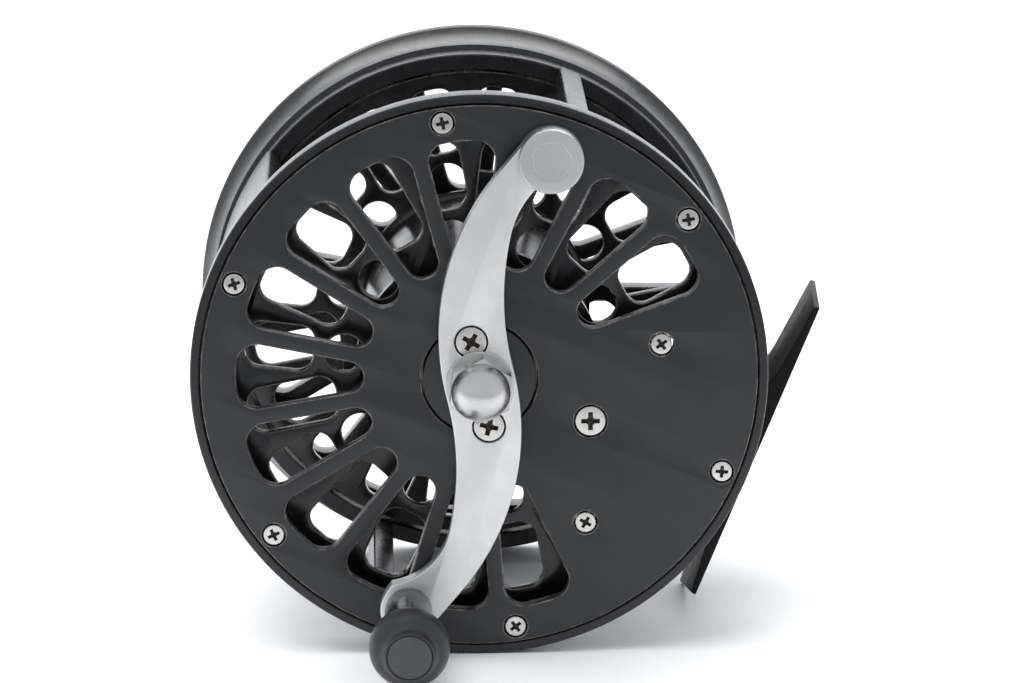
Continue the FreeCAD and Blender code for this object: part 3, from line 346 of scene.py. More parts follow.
def install(piece, place, body, materials, slot, *nodes):
    """Put a piece where the frame says, on its body, in place of its CAD nodes."""
    piece.data.transform(place)
    for material in materials:
        piece.data.materials.append(material)
    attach(piece, body)
    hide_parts(*nodes)
    return piece


# ---------------------------------------------------------------- materials


class Surface:
    """A procedural material: the shader, and short ways to feed its sockets."""

    def __init__(self, name, color, metallic=0.0, roughness=0.5):
        self.material = bpy.data.materials.new(name)
        self.material.use_nodes = True
        self.nodes = self.material.node_tree.nodes
        self.links = self.material.node_tree.links
        self.shader = self.nodes["Principled BSDF"]
        self.shader.inputs["Base Color"].default_value = (*color, 1)
        self.shader.inputs["Metallic"].default_value = metallic
        self.shader.inputs["Roughness"].default_value = roughness
        self.place = self.nodes.new("ShaderNodeTexCoord").outputs["Object"]

    def noise(self, per_metre, detail=3.0, rough=0.55, stretch=None):
        source = self.place
        if stretch:
            mapping = self.nodes.new("ShaderNodeMapping")
            mapping.inputs["Scale"].default_value = stretch
            self.links.new(source, mapping.inputs["Vector"])
            source = mapping.outputs["Vector"]
        noise = self.nodes.new("ShaderNodeTexNoise")
        noise.inputs["Scale"].default_value = per_metre
        noise.inputs["Detail"].default_value = detail
        noise.inputs["Roughness"].default_value = rough
        self.links.new(source, noise.inputs["Vector"])
        return noise.outputs["Fac"]

    def spread(self, value, low, high, start=0.3, end=0.7):
        """A value remapped from start..end to low..high."""
        change = self.nodes.new("ShaderNodeMapRange")
        for socket, number in zip(("From Min", "From Max", "To Min", "To Max"), (start, end, low, high)):
            change.inputs[socket].default_value = number
        self.links.new(value, change.inputs["Value"])
        return change.outputs["Result"]

    def tint(self, value, dark, light):
        """A colour between two, by a value."""
        mix = self.nodes.new("ShaderNodeMix")
        mix.data_type = "RGBA"
        self.links.new(value, mix.inputs[0])
        mix.inputs[6].default_value = (*dark, 1)
        mix.inputs[7].default_value = (*light, 1)
        self.links.new(mix.outputs[2], self.shader.inputs["Base Color"])

    def roughen(self, value, low, high):
        self.links.new(self.spread(value, low, high), self.shader.inputs["Roughness"])

    def bump(self, value, depth_mm, strength=1.0):
        bump = self.nodes.new("ShaderNodeBump")
        bump.inputs["Distance"].default_value = depth_mm * MM
        bump.inputs["Strength"].default_value = strength
        self.links.new(value, bump.inputs["Height"])
        if self.shader.inputs["Normal"].is_linked:
            before = self.shader.inputs["Normal"].links[0].from_socket
            self.links.new(before, bump.inputs["Normal"])
        self.links.new(bump.outputs["Normal"], self.shader.inputs["Normal"])


def black_anodised(name, shade, smooth, rough):
    """Black anodising over a finely machined surface: its shade, and its range of roughness."""
    look = Surface(name, (shade, shade, shade * 1.1))
    blotch = look.noise(90)
    look.tint(look.spread(blotch, 0, 1), [shade * k for k in (0.8, 0.82, 0.9)],
              [shade * k for k in (1.25, 1.28, 1.42)])
    look.roughen(look.noise(260, 4), smooth, rough)
    look.bump(look.noise(9000, 2), 0.006, 0.5)
    return look.material


def machined_edge():
    """The small bevels of black anodised parts, which catch the light: their lighter tone is partly worn
    bare edges and partly painted highlight.
    """
    look = Surface("machined_edge", (0.1, 0.1, 0.1), 0.6, 0.26)
    # Lighter tone on the bevels: worn bare edges and painted highlight.
    wear_and_sheen = look.noise(420, 5, 0.7)
    look.tint(look.spread(wear_and_sheen, 0, 1, 0.4, 0.65), (0.055, 0.055, 0.058), (0.2, 0.195, 0.185))
    look.roughen(look.noise(1500), 0.2, 0.34)
    look.bump(look.noise(6000), 0.004, 0.4)
    return look.material


def gloss_black():
    """Bright black anodising."""
    look = Surface("gloss_black", (0.006, 0.006, 0.0068), 0.0, 0.22)
    look.shader.inputs["Specular IOR Level"].default_value = 0.32
    look.tint(look.spread(look.noise(150), 0, 1), (0.005, 0.005, 0.0058), (0.010, 0.010, 0.011))
    look.roughen(look.noise(600, 4), 0.19, 0.28)
    look.bump(look.noise(3500), 0.003, 0.3)
    return look.material


def foot_black():
    """Satin black anodising on the foot, a little rubbed."""
    look = Surface("foot_black", (0.006, 0.006, 0.0065), 0.0, 0.46)
    look.shader.inputs["Specular IOR Level"].default_value = 0.15
    look.tint(look.spread(look.noise(140, 4), 0, 1), (0.0045, 0.0045, 0.005), (0.009, 0.009, 0.0095))
    look.roughen(look.noise(500, 4), 0.4, 0.54)
    look.bump(look.noise(5200, 2), 0.005, 0.5)
    return look.material


def satin_silver(name, dark, light):
    """Bead-blasted aluminium under clear anodising, between two greys."""
    look = Surface(name, (dark, dark, dark), 1.0, 0.42)
    cloud = look.noise(120, 4)
    look.tint(look.spread(cloud, 0, 1), (dark, dark, dark), (light, light, light * 0.993))
    look.roughen(look.noise(700, 5), 0.38, 0.5)
    look.bump(look.noise(5200, 3, 0.6), 0.012, 0.6)
    return look.material


def polished_steel():
    """Softly polished stainless steel with faint hairlines."""
    look = Surface("polished_steel", (0.56, 0.555, 0.55), 1.0, 0.3)
    look.tint(look.spread(look.noise(240), 0, 1), (0.52, 0.517, 0.512), (0.6, 0.596, 0.59))
    look.roughen(look.noise(1800, 5, 0.6, (1, 1, 8)), 0.26, 0.34)
    look.bump(look.noise(900), 0.003, 0.25)
    return look.material


def stainless_steel():
    """Turned stainless steel."""
    look = Surface("stainless_steel", (0.6, 0.585, 0.56), 1.0, 0.27)
    look.tint(look.spread(look.noise(700, 3), 0, 1), (0.55, 0.535, 0.51), (0.66, 0.645, 0.62))
    look.roughen(look.noise(3500, 4), 0.22, 0.33)
    look.bump(look.noise(7000), 0.006, 0.4)
    return look.material


def spring_steel():
    """Hard ground steel with a straw tint."""
    look = Surface("spring_steel", (0.4, 0.38, 0.34), 1.0, 0.33)
    look.tint(look.spread(look.noise(500, 4), 0, 1), (0.33, 0.31, 0.27), (0.46, 0.44, 0.4))
    look.roughen(look.noise(2500, 4, 0.6, (1, 6, 1)), 0.26, 0.42)
    look.bump(look.noise(6000), 0.005, 0.4)
    return look.material


def recess_shade():
    """The dark inside of a screw's driver recess: painted shade."""
    look = Surface("recess_shade", (0.05, 0.04, 0.03), 0.4, 0.5)
    look.tint(look.spread(look.noise(2500, 4), 0, 1), (0.035, 0.028, 0.02), (0.09, 0.07, 0.052))
    look.roughen(look.noise(4000), 0.42, 0.6)
    look.bump(look.noise(8000), 0.006, 0.5)
    return look.material


def knob_resin():
    """Smooth black moulded resin, darker than the cap in its front."""
    look = Surface("knob_resin", (0.018, 0.018, 0.0195), 0.0, 0.4)
    look.tint(look.spread(look.noise(180, 4), 0, 1), (0.014, 0.0142, 0.0155), (0.023, 0.0232, 0.025))
    look.roughen(look.noise(900, 4), 0.35, 0.46)
    look.bump(look.noise(4200, 3), 0.006, 0.5)
    return look.material


def resin_black():
    """Matt black moulded resin, very slightly worn."""
    look = Surface("resin_black", (0.05, 0.0505, 0.054), 0.0, 0.52)
    look.tint(look.spread(look.noise(180, 4), 0, 1), (0.043, 0.0435, 0.047), (0.06, 0.0605, 0.064))
    look.roughen(look.noise(900, 4), 0.46, 0.6)
    look.bump(look.noise(4200, 3), 0.008, 0.5)
    return look.material


def bronze():
    """Oil-filled bronze."""
    look = Surface("bronze", (0.42, 0.26, 0.11), 1.0, 0.38)
    look.tint(look.spread(look.noise(700, 4), 0, 1), (0.34, 0.2, 0.08), (0.5, 0.33, 0.16))
    look.roughen(look.noise(2600), 0.32, 0.48)
    look.bump(look.noise(6000), 0.006, 0.4)
    return look.material


def carbon_composite():
    """Woven carbon friction material."""
    look = Surface("carbon_composite", (0.02, 0.02, 0.02), 0.0, 0.45)
    weave = look.nodes.new("ShaderNodeTexChecker")
    weave.inputs["Scale"].default_value = 900
    weave.inputs["Color1"].default_value = (0.012, 0.012, 0.012, 1)
    weave.inputs["Color2"].default_value = (0.035, 0.035, 0.036, 1)
    look.links.new(look.place, weave.inputs["Vector"])
    look.links.new(weave.outputs["Color"], look.shader.inputs["Base Color"])
    look.roughen(look.noise(1200), 0.38, 0.55)
    look.bump(weave.outputs["Fac"], 0.02, 0.6)
    return look.material


LOOKS = {
    "black_anodised": black_anodised("black_anodised", 0.0115, 0.34, 0.44),
    # The frame and spool copies are darker than the face plate's black: painted shade for the inside of
    # the reel.
    "frame_shaded_black": black_anodised("frame_shaded_black", 0.006, 0.24, 0.32),
    "spool_shaded_black": black_anodised("spool_shaded_black", 0.004, 0.2, 0.28),
    "machined_edge": machined_edge(),
    "gloss_black": gloss_black(),
    "foot_black": foot_black(),
    "satin_silver": satin_silver("satin_silver", 0.66, 0.77),
    # A darker copy of the satin silver for the counterweight: painted shade.
    "weight_shaded_silver": satin_silver("weight_shaded_silver", 0.5, 0.57),
    "polished_steel": polished_steel(),
    "stainless_steel": stainless_steel(),
    "recess_shade": recess_shade(),
    "spring_steel": spring_steel(),
    "resin_black": resin_black(),
    "knob_resin": knob_resin(),
    "bronze": bronze(),
    "carbon_composite": carbon_composite(),
}
BLACK = (LOOKS["black_anodised"], LOOKS["machined_edge"])
FRAME_SHADED_BLACK = (LOOKS["frame_shaded_black"], LOOKS["machined_edge"])
SPOOL_SHADED_BLACK = (LOOKS["spool_shaded_black"], LOOKS["machined_edge"])
SILVER = (LOOKS["satin_silver"], LOOKS["satin_silver"])
WEIGHT_SHADED_SILVER = (LOOKS["weight_shaded_silver"], LOOKS["weight_shaded_silver"])
SCREW = (LOOKS["stainless_steel"], LOOKS["recess_shade"])

for sub_part in frame["record"]["subparts"]:
    node = frame["nodes"][sub_part["node"]]
    node.data.materials.clear()
    node.data.materials.append(LOOKS[sub_part["material_slot"]])

# ---------------------------------------------------------------- frame


def slot_outline():
    """One slot between two spokes: round at its inner end, bowed at its outer end."""
    half = math.radians(180 / SLOT_COUNT)
    apex = SPOKE_WIDTH / 2 / math.sin(half)
    reach = SLOT_OUTER * math.cos(half)
    rise = (reach - apex) * math.tan(half)
    chord = [(reach, rise * k / 6, 0) for k in (-3, -2, -1, 0, 1, 2, 3)]
    corners = [(apex, 0, SLOT_CORNER), (reach, -rise, SLOT_CORNER)]
    corners += chord + [(reach, rise, SLOT_CORNER)]
    bow = SLOT_OUTER - reach
    outline = []
    for x, y in filleted(corners, 10):
        share = min(max((x - reach + 5) / 5, 0), 1)
        outline.append((x + bow * (1 - (y / rise) ** 2) * share * share, y))
    return outline


def slots(steps):
    pitch = 360 / SLOT_COUNT
    return [turned(slot_outline(), pitch * step) for step in steps]


def sector(inner, outer, start, end, corner):
    """The outline between two radii and two angles, with rounded corners."""
    mids = [k / 12 for k in range(1, 12)]
    outer_arc = [(*polar(outer, start + (end - start) * k), 0) for k in mids]
    inner_arc = [(*polar(inner, end - (end - start) * k), 0) for k in mids]
    corners = [(*polar(outer, start), corner)] + outer_arc + [(*polar(outer, end), corner)]
    corners += [(*polar(inner, end), corner)] + inner_arc + [(*polar(inner, start), corner)]
    return filleted(corners, 4)


def slim_sector(middle):
    return filleted([(*polar(r, middle + a), 0.5) for r, a in (
        (PILLAR_RADIUS, -SLIM_PILLAR_HALF_ANGLE), (PILLAR_RADIUS, SLIM_PILLAR_HALF_ANGLE),
        (BORE_RADIUS, SLIM_PILLAR_HALF_ANGLE), (BORE_RADIUS, -SLIM_PILLAR_HALF_ANGLE))], 4)


def make_frame():
    seat = PLATE_RADIUS + PLATE_SEAM
    ring = lathe("ring", path([
        (BORE_RADIUS, -PLATE_THICKNESS), (seat, -PLATE_THICKNESS), (seat, -0.25), (seat + 0.25, 0),
        (RIM_RADIUS - 0.5, 0, 0.5, -1), (RIM_RADIUS, -0.5), (RIM_RADIUS, 0.5 - RING_DEPTH, 0.5, -1),
        (RIM_RADIUS - 0.5, -RING_DEPTH), (BORE_RADIUS, -RING_DEPTH)], 5), 288)
    cup = lathe("cup", path([
        (BORE_RADIUS, -CUP_FRONT), (CUP_FRONT_RADIUS - 0.35, -CUP_FRONT, 0.35, -1),
        (CUP_FRONT_RADIUS, -CUP_FRONT - 0.35), (CUP_FRONT_RADIUS, 0.4 - CUP_STEP),
        (CUP_STEP_RADIUS, -CUP_STEP, 14, 1), (RIM_RADIUS, 2.2 - REEL_DEPTH),
        (RIM_RADIUS, 1.0 - REEL_DEPTH, 1.0, -1), (RIM_RADIUS - 1.0, -REEL_DEPTH),
        (BORE_RADIUS, -REEL_DEPTH)], 12), 288)
    rear_loops = [circle(RIM_RADIUS - 1.05, 288), circle(FRAME_BORE, 64)]
    rear_loops += slots([0.5 + step for step in range(SLOT_COUNT)])
    rear = plate("rear", rear_loops, -REEL_DEPTH, -REAR_INNER, 0.3, 3, plain_outline=True)
    boss = lathe("boss", path([
        (FRAME_BORE, -REAR_INNER + BOSS_RISE), (BOSS_RADIUS - 0.3, -REAR_INNER + BOSS_RISE, 0.3, -1),
        (BOSS_RADIUS, -REAR_INNER + BOSS_RISE - 0.3), (BOSS_RADIUS, -REAR_INNER - 0.2),
        (FRAME_BORE, -REAR_INNER - 0.2)], 4), 96)
    pillars = [plate(f"wide{k}", [sector(BORE_RADIUS, PILLAR_RADIUS, middle - PILLAR_HALF_ANGLE,
                                         middle + PILLAR_HALF_ANGLE, 0.6)],
                     -CUP_FRONT - 0.1, -RING_DEPTH + 0.1, 0) for k, middle in enumerate((0, 180))]
    pillars += [plate(f"slim{k}", [slim_sector(middle)], -CUP_FRONT - 0.1, -RING_DEPTH + 0.1, 0)
                for k, middle in enumerate((90, 270))]
    foot_box_low = (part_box("reel_foot")[0].y - origin.y) / MM
    foot_box_high = (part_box("reel_foot")[1].y - origin.y) / MM
    pedestal_outline = filleted([(x, y, 0.4) for x, y in (
        (PEDESTAL_ROOT, -PEDESTAL_HALF), (FOOT_INNER, -PEDESTAL_HALF),
        (FOOT_INNER, PEDESTAL_HALF), (PEDESTAL_ROOT, PEDESTAL_HALF))], 3)
    pedestal = plate("pedestal", [pedestal_outline], -foot_box_high + 0.6, -foot_box_low - 0.6, 0.4, 3)
    whole = joined("frame_body", [ring, cup, rear, boss, pedestal] + pillars)
    return install(whole, FRAME_PLACE, "body", FRAME_SHADED_BLACK, "black_anodised", "frame")


def make_face_plate():
    loops = [circle(PLATE_RADIUS, 288), circle(DISC_RADIUS + DISC_SEAM, 128)]
    first_slot = (SLOT_COUNT - FACE_SLOT_COUNT + 1) / 2
    loops += slots([first_slot + step for step in range(FACE_SLOT_COUNT)])
    loops += [turned(circle(SMALL_RECESS, 40), 60 * k, PLATE_SCREW_CIRCLE) for k in range(6)]
    loops += [turned(circle(SMALL_RECESS, 40), sign * POST_ANGLE, POST_CIRCLE) for sign in (-1, 1)]
    loops.append(circle(LARGE_RECESS, 56, PAWL_CIRCLE))
    whole = plate("face_plate_disc", loops, -PLATE_THICKNESS, 0, 0.22, 3)
    return install(whole, FRAME_PLACE, "body", BLACK, "black_anodised", "face_plate")


# ---------------------------------------------------------------- screws


def tapered_bar(half_long, half_wide, depth):
    """A bar from above the surface down to a depth, narrower at its bottom."""
    build = bmesh.new()
    rings = []
    for height, share in ((0.4, 1.06), (0.0, 1.0), (-depth, 0.62)):
        x, y = half_long * share, half_wide * (0.4 + 0.6 * share)
        corners = ((-x, -y), (x, -y), (x, y), (-x, y))
        rings.append([build.verts.new((px, py, height)) for px, py in corners])
    for upper, lower in zip(rings, rings[1:]):
        bridge(build, upper, lower)
    build.faces.new(rings[0])
    build.faces.new(rings[-1])
    return finished("bar", build)


def screw_master(head, shank, length, bar, depth):
    """A screw standing under z = 0, with a cross-shaped driver recess."""
    rim = min(0.22, head * 0.1)
    piece = lathe("screw", path([
        (0, 0), (head - rim, 0, rim, -1), (head, -rim), (head, -HEAD_DEPTH), (shank, -HEAD_DEPTH),
        (shank, 0.3 - length), (shank - 0.3, -length), (0, -length)], 5), 72)
    for turn in (0, 90):
        cutter = tapered_bar(*bar, depth)
        cutter.data.transform(Matrix.Rotation(math.radians(turn), 4, "Z"))
        piece = carve(piece, cutter)
    bottom = -depth * 1.25
    cone = [(0, 0.3), (bar[1] * 2.3, 0.3), (bar[1] * 0.5, bottom), (0, bottom)]
    point = lathe("point", cone, 32)
    piece = carve(piece, point)
    # Faces inside the driver recess take the second material, painted shade.
    for face in piece.data.polygons:
        inside = math.hypot(face.center.x, face.center.y) < bar[0] * 1.02
        face.material_index = 1 if inside and -depth * 1.3 < face.center.z < -0.02 else 0
    return piece


def spot(radius, degrees, height, roll):
    turn = Matrix.Rotation(math.radians(degrees), 4, "Z")
    return turn @ Matrix.Translation((radius, 0, height)) @ Matrix.Rotation(math.radians(roll), 4, "Z")


def make_screws():
    small = (SMALL_HEAD, SMALL_SHANK, 4.0, (1.12, 0.3), 0.75)
    large = (LARGE_HEAD, LARGE_SHANK, 4.1, (1.65, 0.42), 1.0)
    crank = (LARGE_HEAD, LARGE_SHANK, 14.0, (1.65, 0.42), 1.0)
    plate_rolls, crank_rolls = (18, 62, 5, 40, 77, 30), (48, 65)
    rim_spots = [spot(PLATE_SCREW_CIRCLE, 60 * k, SCREW_SINK, roll) for k, roll in enumerate(plate_rolls)]
    post_spots = [spot(POST_CIRCLE, sign * POST_ANGLE, SCREW_SINK, 25) for sign in (-1, 1)]
    pivot_spots = [spot(PAWL_CIRCLE, 0, SCREW_SINK, 22)]
    groups = (("face_plate_screws", small, rim_spots), ("spring_post_screws", small, post_spots),
              ("pawl_pivot_screw", large, pivot_spots))
    for node, size, spots in groups:
        group = copies(f"{node}_turned", screw_master(*size), spots)
        install(group, FRAME_PLACE, "body", SCREW, "stainless_steel", node)
    reach = math.hypot(*CRANK_SCREW)
    angle = math.degrees(math.atan2(CRANK_SCREW[1], CRANK_SCREW[0]))
    crank_spots = [spot(reach, angle + 180 * k, CRANK_FRONT + SCREW_SINK, roll)
                   for k, roll in enumerate(crank_rolls)]
    group = copies("crank_screws_turned", screw_master(*crank), crank_spots)
    install(group, CRANK_PLACE, "spool", SCREW, "stainless_steel", "crank_screws")


# ---------------------------------------------------------------- spool


def window_outline(inner):
    half = WINDOW_WIDTH / 2
    outer = WINDOW_OUTER - 0.1
    ends = ((inner, -half), (outer, -half), (outer, half), (inner, half))
    return filleted([(x, y, WINDOW_CORNER) for x, y in ends], 9)


def flange_loops():
    loops = [circle(FLANGE_RADIUS, 256)]
    for k in range(WINDOW_COUNT):
        inner = WINDOW_LONG if k % 2 else WINDOW_SHORT
        loops.append(turned(window_outline(inner), WINDOW_PHASE + 360 / WINDOW_COUNT * k))
    for k in range(WINDOW_COUNT // 2):
        loops.append(turned(circle(HOLE_RADIUS, 48), WINDOW_PHASE + 720 / WINDOW_COUNT * k, HOLE_CIRCLE))
    return loops


def make_spool():
    front = plate("front", flange_loops(), -FRONT_FLANGE - FLANGE_THICKNESS, -FRONT_FLANGE, 0.25, 3)
    rear_loops = flange_loops() + [circle(ARBOR_RADIUS - ARBOR_WALL, 128)]
    rear = plate("rear", rear_loops, -REAR_FLANGE - FLANGE_THICKNESS, -REAR_FLANGE, 0.25, 3)
    fillet = 1.5
    back = FRONT_FLANGE + FLANGE_THICKNESS
    drum = lathe("drum", path([
        (0, -DISC_DEPTH - 0.2), (SPIGOT_RADIUS, -DISC_DEPTH - 0.2), (SPIGOT_RADIUS, -GEAR_DEPTH),
        (SEAT_RADIUS - 0.2, -GEAR_DEPTH), (SEAT_RADIUS, -GEAR_DEPTH - 0.2),
        (SEAT_RADIUS, -FRONT_FLANGE - 0.1),
        (ARBOR_RADIUS + fillet, -FRONT_FLANGE - 0.1), (ARBOR_RADIUS + fillet, -back, fillet, 1),
        (ARBOR_RADIUS, -back - fillet), (ARBOR_RADIUS, fillet - REAR_FLANGE, fillet, 1),
        (ARBOR_RADIUS + fillet, -REAR_FLANGE), (ARBOR_RADIUS + fillet, -REAR_FLANGE - 0.5),
        (ARBOR_RADIUS - ARBOR_WALL, -REAR_FLANGE - 0.5), (ARBOR_RADIUS - ARBOR_WALL, -HUB_FRONT),
        (HUB_RADIUS, -HUB_FRONT), (HUB_RADIUS, -HUB_REAR), (HUB_BORE, -HUB_REAR), (HUB_BORE, -HUB_FRONT),
        (0, -HUB_FRONT)], 8), 192)
    whole = joined("spool_body", [front, rear, drum])
    return install(whole, CRANK_PLACE, "spool", SPOOL_SHADED_BLACK, "black_anodised", "spool")


def make_drive_disc():
    disc = lathe("drive_disc_turned", path([
        (0, 0), (DISC_RADIUS - 0.25, 0, 0.25, -1), (DISC_RADIUS, -0.25), (DISC_RADIUS, -DISC_DEPTH),
        (0, -DISC_DEPTH)], 4), 160)
    return install(disc, CRANK_PLACE, "spool", BLACK, "black_anodised", "drive_disc")


def make_click_gear():
    root = GEAR_TIP - GEAR_TOOTH
    half = 180 / GEAR_TEETH
    outline = []
    for k in range(GEAR_TEETH):
        middle = 2 * half * k
        outline.append(polar(root, middle))
        outline += [polar(GEAR_TIP, middle + half * share) for share in (0.82, 1.18)]
    loops = [outline, circle(SPIGOT_RADIUS, 64)]
    gear = plate("click_gear_cut", loops, -GEAR_DEPTH, -DISC_DEPTH, 0.08, 1)
    steel = [LOOKS["spring_steel"], LOOKS["spring_steel"]]
    return install(gear, CRANK_PLACE, "spool", steel, "spring_steel", "click_gear")


# ---------------------------------------------------------------- crank and handle


def crank_outline():
    """The crank's outline: two long sides that bulge and curve in, and two round ends."""
    side = [(37.5, 7.92, 46.0, 1), (4.36, -4.78, 52.3, -1)]
    return [
        side[0], (-4.36, 4.78, 52.3, -1), (-27.27, -2.72, 12.6, -1), (-39.6, 4.2, 9.43, 1),
        (-HANDLE_REACH, HANDLE_END, HANDLE_END, 1), (-HANDLE_REACH - HANDLE_END, 0, HANDLE_END, 1),
        (-45.34, -4.62), (-37.5, -7.92, 46.0, 1), side[1], (27.27, 2.72, 17.0, -1),
        (36.52, 0.87, WEIGHT_END, 1), (WEIGHT_REACH, -WEIGHT_END, WEIGHT_END, 1),
        (WEIGHT_REACH + WEIGHT_END, 0, WEIGHT_END, 1), (44.16, 5.12)]


def make_crank():
    reach = math.hypot(*CRANK_SCREW)
    angle = math.degrees(math.atan2(CRANK_SCREW[1], CRANK_SCREW[0]))
    loops = [path(crank_outline(), 26)]
    loops += [turned(circle(LARGE_RECESS, 56), angle + 180 * k, reach) for k in range(2)]
    arm = plate("crank_arm_milled", loops, CRANK_BACK, CRANK_FRONT, 0.3, 4)
    return install(arm, CRANK_PLACE, "spool", SILVER, "satin_silver", "crank_arm")


def make_counterweight():
    low = CRANK_BACK + 0.08
    groove, groove_floor = 3.3, WEIGHT_FRONT - 0.08
    disc = lathe("counterweight_turned", path([
        (0, low), (WEIGHT_RADIUS - 0.3, low, 0.3, 1), (WEIGHT_RADIUS, low + 0.3),
        (WEIGHT_RADIUS, WEIGHT_FRONT - 0.45, 0.45, 1), (WEIGHT_RADIUS - 0.45, WEIGHT_FRONT),
        (groove + 0.18, WEIGHT_FRONT), (groove + 0.06, groove_floor),
        (groove - 0.06, groove_floor), (groove - 0.18, WEIGHT_FRONT), (0, WEIGHT_FRONT)],
        5), 144, sharp=28)
    # The counterweight takes the darker copy of the satin silver: painted shade.
    return install(disc, WEIGHT_PLACE, "spool", WEIGHT_SHADED_SILVER, "satin_silver", "counterweight")


def make_cap_nut():
    flange_top = CRANK_FRONT + 0.7

    def hexed(angle, radius, height):
        """The radius that the six flats leave at an angle."""
        if not flange_top < height < NUT_DOME_BASE - 0.05:
            return radius
        face = (angle % math.radians(60)) - math.radians(30)
        return min(radius, NUT_FLATS / 2 / math.cos(face))

    chamfer = [(NUT_FLANGE - (NUT_FLANGE - NUT_DOME) * k / 10, NUT_DOME_BASE - 0.9 + 0.85 * k / 10)
               for k in range(11)]
    dome_start, dome_top = NUT_DOME_BASE + 0.7, NUT_TOP
    dome_radius = (NUT_DOME ** 2 + (dome_top - dome_start) ** 2) / 2 / (dome_top - dome_start)
    flange = [(STUD_RADIUS, CRANK_FRONT), (NUT_FLANGE - 0.1, CRANK_FRONT), (NUT_FLANGE, CRANK_FRONT + 0.1),
              (NUT_FLANGE, flange_top - 0.1), (NUT_FLANGE - 0.1, flange_top),
              (NUT_FLANGE, flange_top + 0.02)]
    dome = [(NUT_DOME, NUT_DOME_BASE), (NUT_DOME, dome_start, dome_radius, 1),
            (0, dome_top), (0, 9.4), (STUD_RADIUS, 9.4)]
    profile = path(flange + chamfer + dome, 24)
    nut = lathe("crank_cap_nut_polished", profile, 180, hexed, sharp=24)
    place = reel_matrix(crank_angle + math.radians(NUT_ROLL))
    return install(nut, place, "spool", [LOOKS["polished_steel"]], "polished_steel", "crank_cap_nut")


def make_handle():
    sleeve = lathe("handle_sleeve_turned", path([
        (SLEEVE_BORE, HANDLE_START), (NECK_RADIUS - 0.4, HANDLE_START, 0.4, 1),
        (NECK_RADIUS, HANDLE_START + 0.4), (NECK_RADIUS, SLEEVE_SHOULDER),
        (SLEEVE_NOSE, SLEEVE_SHOULDER), (SLEEVE_NOSE, SLEEVE_END), (SLEEVE_BORE, SLEEVE_END)], 5), 144)
    install(sleeve, HANDLE_PLACE, "handle", [LOOKS["gloss_black"]], "gloss_black", "handle_sleeve")
    knob = lathe("handle_knob_turned", path([
        (SLEEVE_NOSE, SLEEVE_SHOULDER), (4.4, SLEEVE_SHOULDER, 6.0, -1), (6.3, 22.0, 4.5, 1),
        (KNOB_RADIUS, 24.8, 3.8, 1),
        (5.6, 27.9, 2.2, -1), (4.55, 29.2), (4.4, KNOB_FRONT - 0.35, 0.35, 1), (4.05, KNOB_FRONT),
        (CAP_RADIUS, KNOB_FRONT - 0.1), (CAP_RADIUS, CAP_RECESS), (3.2, CAP_RECESS),
        (3.2, 23.2), (SLEEVE_NOSE, 23.2)], 14), 160)
    install(knob, HANDLE_PLACE, "handle", [LOOKS["knob_resin"]], "resin_black", "handle_knob")
    cap = lathe("handle_cap_turned", path([
        (0, CAP_BACK), (CAP_RADIUS - 0.06, CAP_BACK), (CAP_RADIUS - 0.06, KNOB_FRONT - 0.25, 0.2, 1),
        (CAP_RADIUS - 0.26, KNOB_FRONT - 0.03), (0, KNOB_FRONT)], 4), 128, sharp=25)
    install(cap, HANDLE_PLACE, "handle", [LOOKS["resin_black"]], "resin_black", "handle_knob_cap")


# ---------------------------------------------------------------- foot and drag knob


def make_foot():
    low, high = (value.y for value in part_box("reel_foot"))
    front, rear = (origin.y - low) / MM, (origin.y - high) / MM
    flat = PEDESTAL_HALF + 0.6
    outline = filleted([
        (FOOT_SEAT, -FOOT_LOWER, 0.1), (FOOT_TIP, -FOOT_LOWER, 0.5), (FOOT_LEDGE, -FOOT_SHOULDER, 20),
        (FOOT_INNER, -flat, 6), (FOOT_INNER, flat, 6), (FOOT_LEDGE, FOOT_SHOULDER, 20),
        (FOOT_TIP, FOOT_UPPER, 0.5), (FOOT_SEAT, FOOT_UPPER, 0.1)], 8)
    foot = plate("reel_foot_milled", [outline], rear, front, 0.22, 3)
    for vertex in foot.data.vertices:
        toward_front = (vertex.co.z - rear) / (front - rear)
        end, cant = (FOOT_UPPER, FOOT_UPPER_CANT) if vertex.co.y > 0 else (FOOT_LOWER, FOOT_LOWER_CANT)
        toward_end = max(abs(vertex.co.y) - FOOT_SHOULDER, 0) / (end - FOOT_SHOULDER)
        vertex.co.y -= math.copysign(cant * toward_front ** 2 * toward_end, vertex.co.y)
    black = (LOOKS["foot_black"], LOOKS["foot_black"])
    return install(foot, FRAME_PLACE, "body", black, "gloss_black", "reel_foot")


def make_drag_knob():
    low, high = (value.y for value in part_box("drag_knob"))
    front, rear = (origin.y - low) / MM, (origin.y - high) / MM
    rim = DRAG_KNOB_RADIUS
    centre = rim + 0.75
    half_pitch = math.pi / FLUTES

    def fluted(angle, radius, _height):
        """The radius that the round flutes leave at an angle."""
        offset = (angle + half_pitch) % (2 * half_pitch) - half_pitch
        across = centre * math.sin(offset)
        if abs(across) >= FLUTE_RADIUS:
            return radius
        return min(radius, centre * math.cos(offset) - math.sqrt(FLUTE_RADIUS ** 2 - across ** 2))

    knob = lathe("drag_knob_milled", path([
        (3.05, front), (rim - 1.2, front, 1.4, -1), (rim, front - 1.2), (rim, rear + 1.6, 1.6, -1),
        (rim - 1.6, rear), (5.4, rear), (5.0, rear + 0.4), (5.0, rear + 2.4), (3.05, rear + 2.4)], 8),
        360, fluted)
    return install(knob, FRAME_PLACE, "drag_knob", BLACK, "black_anodised", "drag_knob")


make_frame()
make_face_plate()
make_screws()
make_spool()
make_drive_disc()
make_click_gear()
make_crank()
make_counterweight()
make_cap_nut()
make_handle()
make_foot()
make_drag_knob()

# ---------------------------------------------------------------- stage, light and camera

